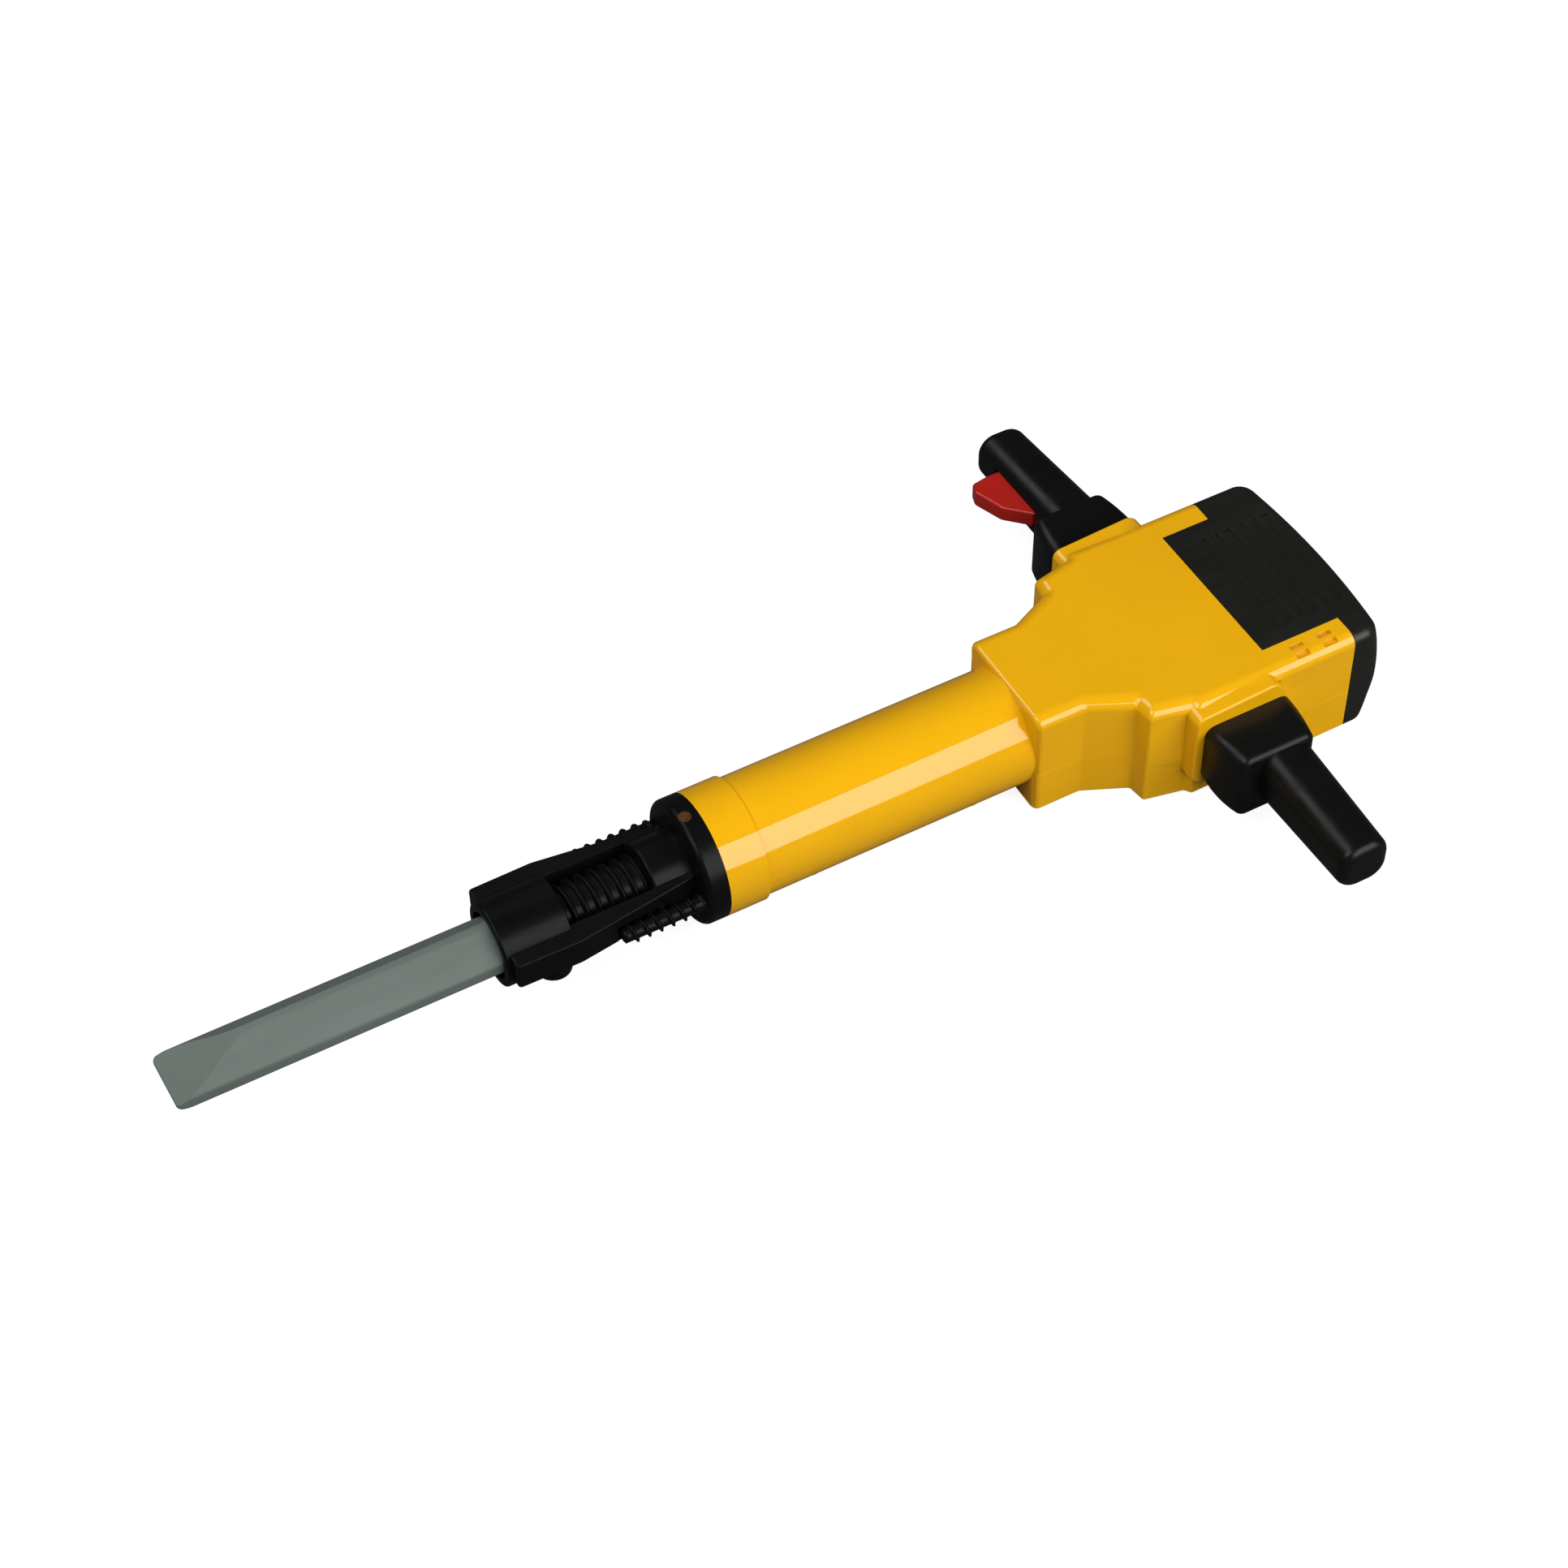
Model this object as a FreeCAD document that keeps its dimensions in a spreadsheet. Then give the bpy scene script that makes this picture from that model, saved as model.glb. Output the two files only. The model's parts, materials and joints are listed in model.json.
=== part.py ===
import FreeCAD, Part
import math
import os
import re

# Battery-powered toy replica of an electric breaker, lying on its back.
# Everything is drawn in the tool frame: X runs along the tool from the chisel (-X) to the rear cap,
# +Y is the trigger side, Z = 0 is the axis of the barrel and chisel. Each finished sub-part is then
# moved by one common offset, so that the row's origin is on the flat underside of the housing.

DIMS = {
    # placing of the row
    "axis_height": 27.0, "rest_x": 30.0,
    # housing
    "top_z": 26.7, "bottom_z": -27.0, "wall": 2.5, "seam_z": -5.2, "barrel_seam_z": -1.5,
    "edge_round": 5.5, "front_round": 2.0, "under_round": 1.5, "front_corner_rad": 3.0,
    "waist_rad": 4.0, "flare_rad": 2.0, "step_rad": 1.5, "front_half": 26.4, "waist_x": 22.0,
    "flare_x": 41.0, "flare_half": 35.3, "step_x": 42.3,
    "step_half": 43.8, "shoulder_x": 60.0, "shoulder_half": 47.7, "cheek_x": 62.0, "boss_front_x": 58.0,
    "boss_rear_x": 107.0, "boss_half": 56.0, "boss_top_z": 26.4, "boss_bottom_z": -15.5,
    "cheek_half": 50.6, "rear_x": 158.5, "rear_plan_rad": 357.0, "rear_corner_rad": 8.0,
    "bulge_half_z": 30.0, "bulge_pull": 5.7,
    # rear cap
    "tongue_x": 101.1, "tongue_half": 37.5, "tongue_thick": 3.0, "near_notch_x": 138.5,
    "far_notch_x": 124.1, "cap_gap": 0.3, "rib_first_x": 114.5, "rib_pitch": 6.3, "rib_width": 3.4,
    "rib_half": 29.0, "rib_depth": 1.1, "vent_length": 6.6, "vent_width": 2.7, "vent_depth": 1.9,
    # barrel, ring and collar
    "barrel_rad": 25.6, "barrel_bore": 23.1, "barrel_front_x": -141.2, "ring_rear_x": -123.4,
    "ring_rad": 26.95, "collar_front_x": -151.0, "spigot_rear_x": -126.0, "spigot_rad": 23.0,
    "rib_bore": 20.5, "bulkhead_x": -64.0, "bulkhead_thick": 4.0, "rib_thick": 3.0,
    # lamp
    "lamp_x": -147.0, "lamp_rad": 2.65, "lamp_seat_z": 22.0, "led_rad": 2.0, "led_seat_z": 14.0,
    # nose
    "wing_front_x": -232.6, "wing_top_z": 9.3, "wing_bottom_z": -4.1, "wing_half": 22.5,
    "wing_kink_x": -205.0, "wing_waist_x": -165.0, "wing_waist_half": 17.5, "wing_tail_half": 15.5,
    "pocket_front_x": -205.4, "pocket_rear_x": -168.0, "pocket_half": 13.4,
    "sleeve_front_x": -234.8, "sleeve_rad": 18.0, "sleeve_bore": 14.3, "sleeve_wall_x": -209.0,
    "neck_rad": 15.8, "nose_boss_x": -214.5, "nose_boss_y": 15.0, "nose_boss_rad": 7.5,
    "nose_boss_z": -9.0, "bellows_root": 10.2, "bellows_crest": 12.6, "bellows_bore": 8.8,
    "bellows_pitch": 5.3, "side_rod_y": 22.0, "side_rod_rad": 3.0, "side_ring_rad": 4.5,
    "side_rod_front_x": -187.8,
    # chisel
    "tip_x": -371.3, "apex_x": -337.2, "bar_rear_x": -217.5, "bar_flat": 1.85, "bar_reach": 13.2,
    "bar_side": 2.6, "tip_half_thick": 0.7, "shank_rad": 8.0, "shank_rear_x": -52.0,
    "run_gap": 0.05, "flute_rad": 22.5, "flute_depth": 0.6, "flute_shift": 3.5,
    "flute_start_x": -262.0, "flute_runout": 403.0,
    "stop_ring_rad": 12.0, "stop_ring_thick": 4.0, "spring_rad": 10.4, "spring_wire": 0.7,
    "spring_turns": 11.0,
    # grips
    "grip_mid_z": 4.6, "block_mid_z": 2.4, "block_root_front_x": 62.0, "block_root_rear_x": 103.0,
    "block_root_half_z": 15.2, "block_belly_y": 67.0, "block_belly_half_z": 16.9,
    "block_out": 81.0, "block_out_front_x": 64.4, "block_out_rear_x": 98.5, "block_out_half_z": 17.0,
    "block_round": 3.4, "handle_mid_z": 4.2, "handle_root_front_x": 73.0, "handle_root_rear_x": 97.4,
    "handle_root_half_z": 13.6, "grip_end": 139.1, "handle_end_front_x": 72.6,
    "handle_end_rear_x": 95.6, "handle_end_half_z": 11.2, "trigger_handle_shift": 2.2,
    "block_corner": 5.0, "handle_corner": 9.0, "grip_end_round": 4.5, "spigot_front_x": 70.0,
    "spigot_back_x": 98.0,
    "spigot_half_z": 12.0, "spigot_depth": 5.5,
    "grip_cavity_front_x": 76.5, "grip_cavity_rear_x": 90.5, "grip_cavity_half_z": 7.6,
    "grip_cavity_end": 135.0,
    # trigger and switch
    "pivot_x": 76.3, "pivot_y": 93.5, "pivot_rad": 1.45, "pin_half": 9.4,
    "trigger_low_z": 1.8, "trigger_high_z": 9.9, "trigger_back_x": 75.2, "plunger_y": 104.0,
    "plunger_rad": 1.6, "switch_front_x": 80.4, "switch_rear_x": 87.0, "trigger_spring_y": 115.0,
    "trigger_spring_rad": 2.2,
    # batteries
    "cell_rad": 7.2, "cell_length": 49.2, "cell_pitch": 16.0, "cell_z": -14.0, "tray_front_x": 62.5,
    "leaf_reach": 3.7, "nub_length": 1.3, "nub_rad": 2.7, "contact_half_y": 3.5, "plate_thick": 0.4,
    "tray_rear_x": 119.5, "tray_half": 25.2, "tray_wall": 1.2, "tray_top_z": -3.8,
    "door_front_x": 60.2, "door_rear_x": 121.8, "door_half": 27.2, "door_thick": 1.6,
    "door_tab_x": 129.0, "door_tab_half": 5.0, "door_screw_x": 125.6,
    # drive
    "gear_module": 0.8, "gear_x": 22.0, "motor_x": 42.0, "motor_rad": 9.6, "motor_half": 12.0,
    "plate_in": 12.6, "plate_out": 14.4, "gear_y": 15.2, "gear_width": 3.0, "axle_rad": 1.5,
    "weight_rad": 9.4, "weight_low_y": -8.0, "weight_high_y": 10.0, "rotor_rad": 1.0,
    "frame_front_x": 8.0, "frame_rear_x": 53.0, "frame_low_z": -15.0, "frame_floor_z": -13.0,
    "frame_high_z": 13.0, "frame_screw_front_x": 13.5, "frame_screw_rear_x": 42.5,
    # screws
    "column_rad": 4.2, "slim_column_rad": 3.6, "head_hole_rad": 2.9, "clear_rad": 1.7,
    "pilot_rad": 1.25, "head_rad": 2.6, "head_thick": 1.9, "cross_half": 1.5, "cross_slot": 0.3,
    "head_seat_z": -20.0, "slim_seat_z": -13.0, "grip_column_rad": 3.2, "grip_head_hole_rad": 2.4,
    "grip_clear_rad": 1.5, "grip_pilot_rad": 1.1, "grip_head_rad": 2.2,
    # speaker and circuit board
    "speaker_x": 117.0, "speaker_y": -30.0, "board_low_z": 3.2, "board_high_z": 4.8,
}
GEAR_TEETH = 40
PINION_TEETH = 10
PRESSURE_ANGLE = math.radians(25)

doc = FreeCAD.newDocument("toy_breaker")
sheet = doc.addObject("Spreadsheet::Sheet", "Dims")
for row, (alias, value) in enumerate(DIMS.items(), start=1):
    sheet.set(f"A{row}", alias)
    sheet.set(f"B{row}", str(value))
    sheet.setAlias(f"B{row}", alias)
doc.recompute()

BASES = {}
PARTS = []


def bound(expression):
    """Turn an expression over the sheet's words into one FreeCAD can read."""
    return re.sub(r"[a-z]\w*", lambda word: "Dims." + word.group(0), str(expression))


def value(expression):
    """The same expression as a number, for outlines that are drawn in code."""
    return float(sheet.evalExpression(expression)) if isinstance(expression, str) else expression


def put(thing, x=0, y=0, z=0):
    """Place an object in the tool frame."""
    BASES[thing.Name] = (x, y, z)
    for axis, place in zip("xyz", (x, y, z)):
        thing.setExpression(f"Placement.Base.{axis}", bound(place))
    return thing


def box(name, x, y, z):
    """A block between two limits along each axis."""
    block = doc.addObject("Part::Box", name)
    for side, (low, high) in zip(("Length", "Width", "Height"), (x, y, z)):
        block.setExpression(side, bound(f"({high}) - ({low})"))
    return put(block, x[0], y[0], z[0])


def rod(name, axis, radius, low, high, across=(0, 0)):
    """A round bar along one axis; across is its place on the other two axes, in X, Y, Z order."""
    bar = doc.addObject("Part::Cylinder", name)
    bar.setExpression("Radius", bound(radius))
    bar.setExpression("Height", bound(f"({high}) - ({low})"))
    turn = {"x": (FreeCAD.Vector(0, 1, 0), 90), "y": (FreeCAD.Vector(1, 0, 0), -90),
            "z": (FreeCAD.Vector(0, 0, 1), 0)}[axis]
    bar.Placement = FreeCAD.Placement(FreeCAD.Vector(), FreeCAD.Rotation(*turn))
    first, second = across
    base = {"x": (low, first, second), "y": (first, low, second), "z": (first, second, low)}[axis]
    return put(bar, *base)


def fuse(name, *shapes):
    joined = doc.addObject("Part::MultiFuse", name)
    joined.Shapes = list(shapes)
    joined.Refine = True
    return joined


def cut(name, base, *tools):
    result = doc.addObject("Part::Cut", name)
    result.Base = base
    result.Tool = tools[0] if len(tools) == 1 else fuse(name + "_tools", *tools)
    result.Refine = True
    return result


def common(name, first, second):
    result = doc.addObject("Part::Common", name)
    result.Base = first
    result.Tool = second
    result.Refine = True
    return result


def group(name, *shapes):
    together = doc.addObject("Part::Compound", name)
    together.Links = list(shapes)
    return together


def finish(label, thing):
    """Name a sub-part and move it from the tool frame into the row's frame."""
    x, y, z = BASES.get(thing.Name, (0, 0, 0))
    thing.Label = label
    thing.setExpression("Placement.Base.x", bound(f"({x}) - rest_x"))
    thing.setExpression("Placement.Base.y", bound(y))
    thing.setExpression("Placement.Base.z", bound(f"({z}) + axis_height"))
    PARTS.append(thing)
    return thing


def around(middle, half):
    """Limits on either side of a place along one axis."""
    return f"({middle}) - {half}", f"({middle}) + {half}"


def rounded(points):
    """Lines and arcs for a closed outline of (across, up, corner radius) points."""
    corners = [FreeCAD.Vector(value(x), value(y), 0) for x, y, _ in points]
    radii = [value(radius) for _, _, radius in points]
    ends = []
    for index, corner in enumerate(corners):
        before = (corners[index - 1] - corner).normalize()
        after = (corners[(index + 1) % len(corners)] - corner).normalize()
        if radii[index] == 0:
            ends.append((corner, corner, corner))
            continue
        half = before.getAngle(after) / 2
        reach = radii[index] / math.tan(half)
        middle = (before + after).normalize()
        centre = corner + middle * (radii[index] / math.sin(half))
        ends.append((corner + before * reach, centre - middle * radii[index], corner + after * reach))
    outline = []
    for index, (start, middle, end) in enumerate(ends):
        if start != end:
            outline.append(Part.Arc(start, middle, end))
        following = ends[(index + 1) % len(ends)][0]
        if (following - end).Length > 1e-6:
            outline.append(Part.LineSegment(end, following))
    return outline


def rounded_box(x, y, corner):
    """A rectangle between limits along X and Y with equal corner radii."""
    return rounded([(x[0], y[0], corner), (x[1], y[0], corner), (x[1], y[1], corner), (x[0], y[1], corner)])


def sketch(body, name, role, outline, height):
    """A sketch on one of the body's own origin planes, moved along the plane's normal."""
    plane = [feature for feature in body.Origin.OriginFeatures if feature.Role == role][0]
    drawing = body.newObject("Sketcher::SketchObject", name)
    drawing.AttachmentSupport = [(plane, "")]
    drawing.MapMode = "FlatFace"
    drawing.addGeometry(outline, False)
    drawing.setExpression("AttachmentOffset.Base.z", bound(height))
    return drawing


def pad(name, role, outline, low, high):
    """An outline padded between two heights; the XZ plane looks along -Y."""
    body = doc.addObject("PartDesign::Body", name)
    height = low if role != "XZ_Plane" else f"-1 * ({high})"
    drawing = sketch(body, name + "_outline", role, outline, height)
    feature = body.newObject("PartDesign::Pad", name + "_pad")
    feature.Profile = drawing
    feature.setExpression("Length", bound(f"({high}) - ({low})"))
    return body


def soften(body, radius, chosen):
    """Round the edges of a body's last feature that the test picks out."""
    doc.recompute()
    base = body.Tip
    names = [f"Edge{i}" for i, edge in enumerate(base.Shape.Edges, start=1) if chosen(edge)]
    fillet = body.newObject("PartDesign::Fillet", body.Name + "_round")
    fillet.Base = (base, names)
    fillet.setExpression("Radius", bound(radius))
    return body


def eased(name, base, radius_of):
    """Round the edges of a boolean result; radius_of gives an edge's radius, or None to leave it sharp."""
    doc.recompute()
    sizes = [(number, radius_of(edge)) for number, edge in enumerate(base.Shape.Edges, start=1)]
    result = doc.addObject("Part::Fillet", name)
    result.Base = base
    result.Edges = [(number, value(size), value(size)) for number, size in sizes if size]
    return result


def loft(name, role, sections):
    """A body lofted through rounded outlines at several heights along the plane's normal."""
    body = doc.addObject("PartDesign::Body", name)
    along = sorted(sections, key=lambda section: value(section[1]))
    drawings = [sketch(body, f"{name}_section{i}", role, outline, height)
                for i, (outline, height) in enumerate(along)]
    feature = body.newObject("PartDesign::AdditiveLoft", name + "_loft")
    feature.Profile = drawings[0]
    feature.Sections = drawings[1:]
    return body


def flat_edges_at(height):
    """Edges that lie in one horizontal plane."""
    def test(edge):
        bounds = edge.BoundBox
        return abs(bounds.ZMin - height) < 1e-4 and abs(bounds.ZMax - height) < 1e-4
    return test


def turned(name, outline):
    """A body turned about the X axis from a half outline in the XZ plane."""
    body = doc.addObject("PartDesign::Body", name)
    drawing = sketch(body, name + "_profile", "XZ_Plane", outline, "0")
    feature = body.newObject("PartDesign::Revolution", name + "_turn")
    feature.Profile = drawing
    feature.ReferenceAxis = (drawing, ["H_Axis"])
    feature.Angle = 360
    return body


def coil(name, mean, wire, turns, length, axis, base):
    """A round-wire compression spring along +X."""
    path = doc.addObject("Part::Helix", name + "_path")
    path.setExpression("Radius", bound(mean))
    path.setExpression("Height", bound(length))
    path.setExpression("Pitch", bound(f"({length}) / ({turns})"))
    section = doc.addObject("Part::Circle", name + "_wire")
    section.setExpression("Radius", bound(wire))
    section.Placement = FreeCAD.Placement(FreeCAD.Vector(), FreeCAD.Rotation(axis, 90))
    section.setExpression("Placement.Base.x", bound(mean))
    sweep = doc.addObject("Part::Sweep", name)
    sweep.Sections = [section]
    sweep.Spine = (path, ["Edge1"])
    sweep.Solid = True
    sweep.Frenet = True
    sweep.Placement = FreeCAD.Placement(FreeCAD.Vector(), FreeCAD.Rotation(FreeCAD.Vector(0, 1, 0), 90))
    return put(sweep, *base)


# ---------------------------------------------------------------- housing
def housing_plan(inset):
    """Half-widths along the tool, made into a closed outline that runs past the rear wall."""
    side = [
        (inset, f"front_half - {inset}", 0), ("waist_x", f"front_half - {inset}", 0),
        (f"flare_x + {inset}", f"flare_half - {inset}", 0), (f"step_x + {inset}", f"step_half - {inset}", 0),
        (f"shoulder_x + {inset}", f"shoulder_half - {inset}", 0),
        (f"cheek_x + {inset}", f"cheek_half - {inset}", 0),
        ("rear_x + 20", f"cheek_half - {inset}", 0),
    ]
    mirrored = [(x, f"0 - ({y})", 0) for x, y, _ in reversed(side)]
    return rounded(side + mirrored)


def rear_bulge(name, inset):
    """Everything in front of the rear wall, which curves both across the tool and over its height."""
    apex, low, high = value("rear_plan_rad"), value("0 - bulge_half_z"), value("bulge_half_z")
    edge = value("rear_plan_rad - bulge_pull")
    front = value("rear_plan_rad - rear_x - 60")
    corners = [FreeCAD.Vector(*place, 0) for place in ((edge, low), (apex, 0), (edge, high), (front, high),
                                                        (front, low))]
    outline = [Part.Arc(*corners[:3]), Part.LineSegment(corners[2], corners[3]),
               Part.LineSegment(corners[3], corners[4]), Part.LineSegment(corners[4], corners[0])]
    body = doc.addObject("PartDesign::Body", name)
    drawing = sketch(body, name + "_profile", "XZ_Plane", outline, "0")
    feature = body.newObject("PartDesign::Revolution", name + "_turn")
    feature.Profile = drawing
    feature.ReferenceAxis = (drawing, ["V_Axis"])
    feature.Angle = 40
    feature.Midplane = True
    return put(body, f"rear_x - rear_plan_rad - {inset}")


def rear_corner(radius):
    """The given radius for the two upright edges at the rear."""
    def test(edge):
        bounds = edge.BoundBox
        at_rear = bounds.ZLength > value("top_z") and bounds.XMin > value("near_notch_x")
        return radius if at_rear else None
    return test


UPRIGHT_EDGES = (("0", "front_corner_rad"), ("waist_x", "waist_rad"), ("flare_x", "flare_rad"),
                 ("step_x", "step_rad"), ("shoulder_x", "step_rad"), ("cheek_x", "step_rad"))


def outer_edge(edge):
    """Broad rounding around the top, fine rounding below and at the upright corners."""
    bounds = edge.BoundBox
    if flat_edges_at(value("top_z"))(edge):
        return "front_round" if bounds.XMax < 0.01 else "edge_round"
    if flat_edges_at(value("bottom_z"))(edge):
        return "under_round"
    if bounds.ZLength < value("top_z") or bounds.XLength > 1e-4:
        return None
    return next((radius for x, radius in UPRIGHT_EDGES if abs(bounds.XMax - value(x)) < 0.01), None)


form_block = common("form_block", pad("form_plan", "XY_Plane", housing_plan("0"), "bottom_z", "top_z"),
                    rear_bulge("form_rear", "0"))
form_main = eased("form_main", eased("form_corners", form_block, rear_corner("rear_corner_rad")), outer_edge)
boss_outline = rounded([
    ("boss_front_x", "boss_bottom_z", 5), ("boss_rear_x", "boss_bottom_z", 5), ("boss_rear_x", "8", 12),
    ("boss_rear_x - 9", "boss_top_z", 7), ("boss_front_x", "boss_top_z - 2.4", 4)])
form_boss = pad("form_boss", "XZ_Plane", boss_outline, "0 - boss_half", "boss_half")
form_boss = soften(form_boss, "1.2", lambda edge: edge.BoundBox.YLength < 1e-4)
form_barrel = rod("form_barrel", "x", "barrel_rad", "barrel_front_x", "wall")
outer_form = fuse("outer_form", form_main, form_boss, form_barrel)

hollow_plan = pad("hollow_plan", "XY_Plane", housing_plan("wall"), "bottom_z + wall", "top_z - wall")
hollow_block = common("hollow_block", hollow_plan, rear_bulge("hollow_rear_wall", "wall"))
hollow_main = eased("hollow_main", hollow_block, rear_corner("rear_corner_rad - 2"))
hollow_boss = box("hollow_boss", ("boss_front_x + 4", "boss_rear_x - 5.5"),
                  ("0 - boss_half + wall", "boss_half - wall"), ("boss_bottom_z + wall", "21"))
hollow_front = rod("hollow_front", "x", "barrel_bore", "barrel_front_x", "bulkhead_x + bulkhead_thick")
hollow_rib = rod("hollow_rib", "x", "rib_bore", "bulkhead_x + bulkhead_thick", "5")
hollow_rear = rod("hollow_rear", "x", "barrel_bore", "bulkhead_x + bulkhead_thick + rib_thick", "0 - 3")


def cap_zone(name, gap):
    """The space the rear cap fills: a rear block, a longer far side and the tongue on top."""
    far = box(name + "_far", (f"far_notch_x + {gap}", "200"), (f"tongue_half + {gap}", "90"), ("0 - 60", "60"))
    rear = box(name + "_rear", (f"near_notch_x + {gap}", "200"), ("0 - 90", "90"), ("0 - 60", "60"))
    tongue = box(name + "_tongue", (f"tongue_x + {gap}", "200"), around("0", f"(tongue_half - {gap})"),
                 (f"top_z - tongue_thick + {gap}", "60"))
    bridge = box(name + "_bridge", (f"far_notch_x + {gap}", "200"), ("tongue_half - 1", "tongue_half + 1"),
                 (f"top_z - tongue_thick + {gap}", "60"))
    return fuse(name, far, rear, tongue, bridge)


recess_floor = box("recess_floor", ("tongue_x - wall", "near_notch_x"),
                   ("0 - tongue_half - wall", "tongue_half + wall"),
                   ("top_z - tongue_thick - wall", "top_z - wall"))
cap_space = cap_zone("cap_space", "0")
hollow_all = fuse("hollow_all", hollow_main, hollow_boss, hollow_front, hollow_rib, hollow_rear)
hollow_shell = cut("hollow_shell", hollow_all, recess_floor)

SCREWS = [("50", "34"), ("50", "0 - 34"), ("112", "40"), ("133", "0 - 40")]
BARREL_SCREWS = [("0 - 25", "17"), ("0 - 25", "0 - 17"), ("0 - 100", "17"), ("0 - 100", "0 - 17")]
columns, heads, clear_holes, pilot_holes, screws = [], [], [], [], []

for number, (x, y) in enumerate(SCREWS + BARREL_SCREWS):
    if number < len(SCREWS):
        radius, foot, crown = "column_rad", "bottom_z + 1", "top_z - 1"
        surface, seat, seam = "bottom_z", "head_seat_z", "seam_z"
    else:
        radius, foot, crown = "slim_column_rad", "0 - 15.5", "15"
        surface, seat, seam = "0 - barrel_rad", "slim_seat_z", "barrel_seam_z"
    columns.append(rod(f"column{number}", "z", radius, foot, crown, (x, y)))
    heads.append(rod(f"head_hole{number}", "z", "head_hole_rad", f"{surface} - 1", seat, (x, y)))
    clear_holes.append(rod(f"clear_hole{number}", "z", "clear_rad", f"{seat} - 1", seam, (x, y)))
    pilot_holes.append(rod(f"pilot_hole{number}", "z", "pilot_rad", seam, f"{seam} + 12", (x, y)))
    head = rod(f"screw_head{number}", "z", "head_rad", f"{seat} - head_thick", seat, (x, y))
    slot_depth = (f"{seat} - head_thick - 0.1", f"{seat} - 1")
    cross = [box(f"cross{number}a", around(x, "cross_half"), around(y, "cross_slot"), slot_depth),
             box(f"cross{number}b", around(x, "cross_slot"), around(y, "cross_half"), slot_depth)]
    shank = rod(f"screw_shank{number}", "z", "pilot_rad", seat, f"{seam} + 10", (x, y))
    screws.append(cut(f"screw{number}", fuse(f"screw{number}_blank", head, shank), *cross))

door_hole = box("door_hole", ("tray_front_x - 0.2", "tray_rear_x + 0.2"),
                ("0 - tray_half - 0.2", "tray_half + 0.2"), ("bottom_z - 1", "head_seat_z"))
door_recess = box("door_recess", ("door_front_x - 0.15", "door_rear_x + 0.15"),
                  ("0 - door_half - 0.15", "door_half + 0.15"), ("bottom_z - 1", "bottom_z + door_thick"))
door_tab_recess = box("door_tab_recess", ("door_rear_x", "door_tab_x + 0.15"),
                      ("0 - door_tab_half - 0.15", "door_tab_half + 0.15"),
                      ("bottom_z - 1", "bottom_z + door_thick"))
door_post = rod("door_post", "z", "3.6", "bottom_z + door_thick", "0 - 14", ("door_screw_x", "0"))
door_post_hole = rod("door_post_hole", "z", "1.3", "bottom_z", "0 - 15", ("door_screw_x", "0"))
posts = [box(f"frame_post{i}", around(x, "2.5"), ("0 - 9", "9"), ("bottom_z + wall - 1", "frame_low_z"))
         for i, x in enumerate(("frame_screw_front_x", "frame_screw_rear_x"))]

grip_openings = [box(f"grip_opening{i}", ("spigot_front_x", "spigot_back_x"), span,
                     ("grip_mid_z - spigot_half_z", "grip_mid_z + spigot_half_z"))
                 for i, span in enumerate((("boss_half - 6", "boss_half + 5"),
                                           ("0 - boss_half - 5", "6 - boss_half")))]

vents = []
for number, (x, y) in enumerate((x, y) for x in ("114.8", "128.3") for y in ("0 - 42.2", "0 - 46.5")):
    outline = rounded_box(around(x, "vent_length / 2"), around(y, "vent_width / 2"), 0.5)
    vents.append(pad(f"vent{number}", "XY_Plane", outline, "top_z - vent_depth", "top_z + 2"))

shell_blank = cut("shell_blank", outer_form, hollow_shell)
speaker_posts = [rod(f"speaker_post{i}", "z", "1.2", "19.2", "top_z - 4", place)
                 for i, place in enumerate((("105.6", "0 - 30"), ("128.4", "0 - 30"), ("117", "0 - 18.6")))]
shell_with_posts = fuse("shell_with_posts", shell_blank, door_post, *columns, *posts, *speaker_posts)
frame_screw_places = (("frame_screw_front_x", "0"), ("frame_screw_rear_x", "0"))
frame_pilots = [rod(f"frame_pilot{i}", "z", "pilot_rad", "0 - 22.5", "0 - 10", place)
                for i, place in enumerate(frame_screw_places)]
shell = cut("shell", shell_with_posts, cap_space, door_hole, door_recess, door_tab_recess, door_post_hole,
            *frame_pilots, *grip_openings, *vents, *heads, *clear_holes, *pilot_holes)
below = fuse("below", box("below_house", ("0", "220"), ("0 - 100", "100"), ("0 - 60", "seam_z")),
             box("below_barrel", ("0 - 200", "0"), ("0 - 100", "100"), ("0 - 60", "barrel_seam_z")))
finish("housing_upper_shell", cut("upper_shell", shell, below))
finish("housing_lower_shell", common("lower_shell", shell, below))
finish("housing_screws", group("all_screws", *screws))

# ---------------------------------------------------------------- rear cap
cap_fill = cap_zone("cap_fill", "cap_gap")
cap_solid = common("cap_solid", outer_form, cap_fill)
cap_hollow_rear = box("cap_hollow_rear", ("0", "near_notch_x + 60"), ("0 - 100", "100"),
                      ("0 - 60", "top_z - tongue_thick"))
cap_hollow = common("cap_hollow", hollow_main, cap_hollow_rear)
ribs = []
for number in range(6):
    x = f"rib_first_x + {number} * rib_pitch"
    outline = rounded_box(around(x, "rib_width / 2"), ("0 - rib_half", "rib_half"), 1.4)
    ribs.append(pad(f"rib{number}", "XY_Plane", outline, "top_z - rib_depth", "top_z + 2"))
cap_lips = [box(f"cap_lip{i}", ("near_notch_x - 6", "near_notch_x + 4"), across, height)
            for i, (across, height) in enumerate(
                (across, height) for across in (("8", "30"), ("0 - 30", "0 - 8"))
                for height in (("bottom_z + wall", "bottom_z + wall + 2"),
                               ("top_z - tongue_thick - wall - 2", "top_z - tongue_thick - wall")))]
cap_webs = [box(f"cap_web{i}", ("near_notch_x + 3", "near_notch_x + 4"), across,
                ("top_z - tongue_thick - wall - 1", "top_z - tongue_thick + 0.5"))
            for i, across in enumerate((("8", "30"), ("0 - 30", "0 - 8")))]
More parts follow.
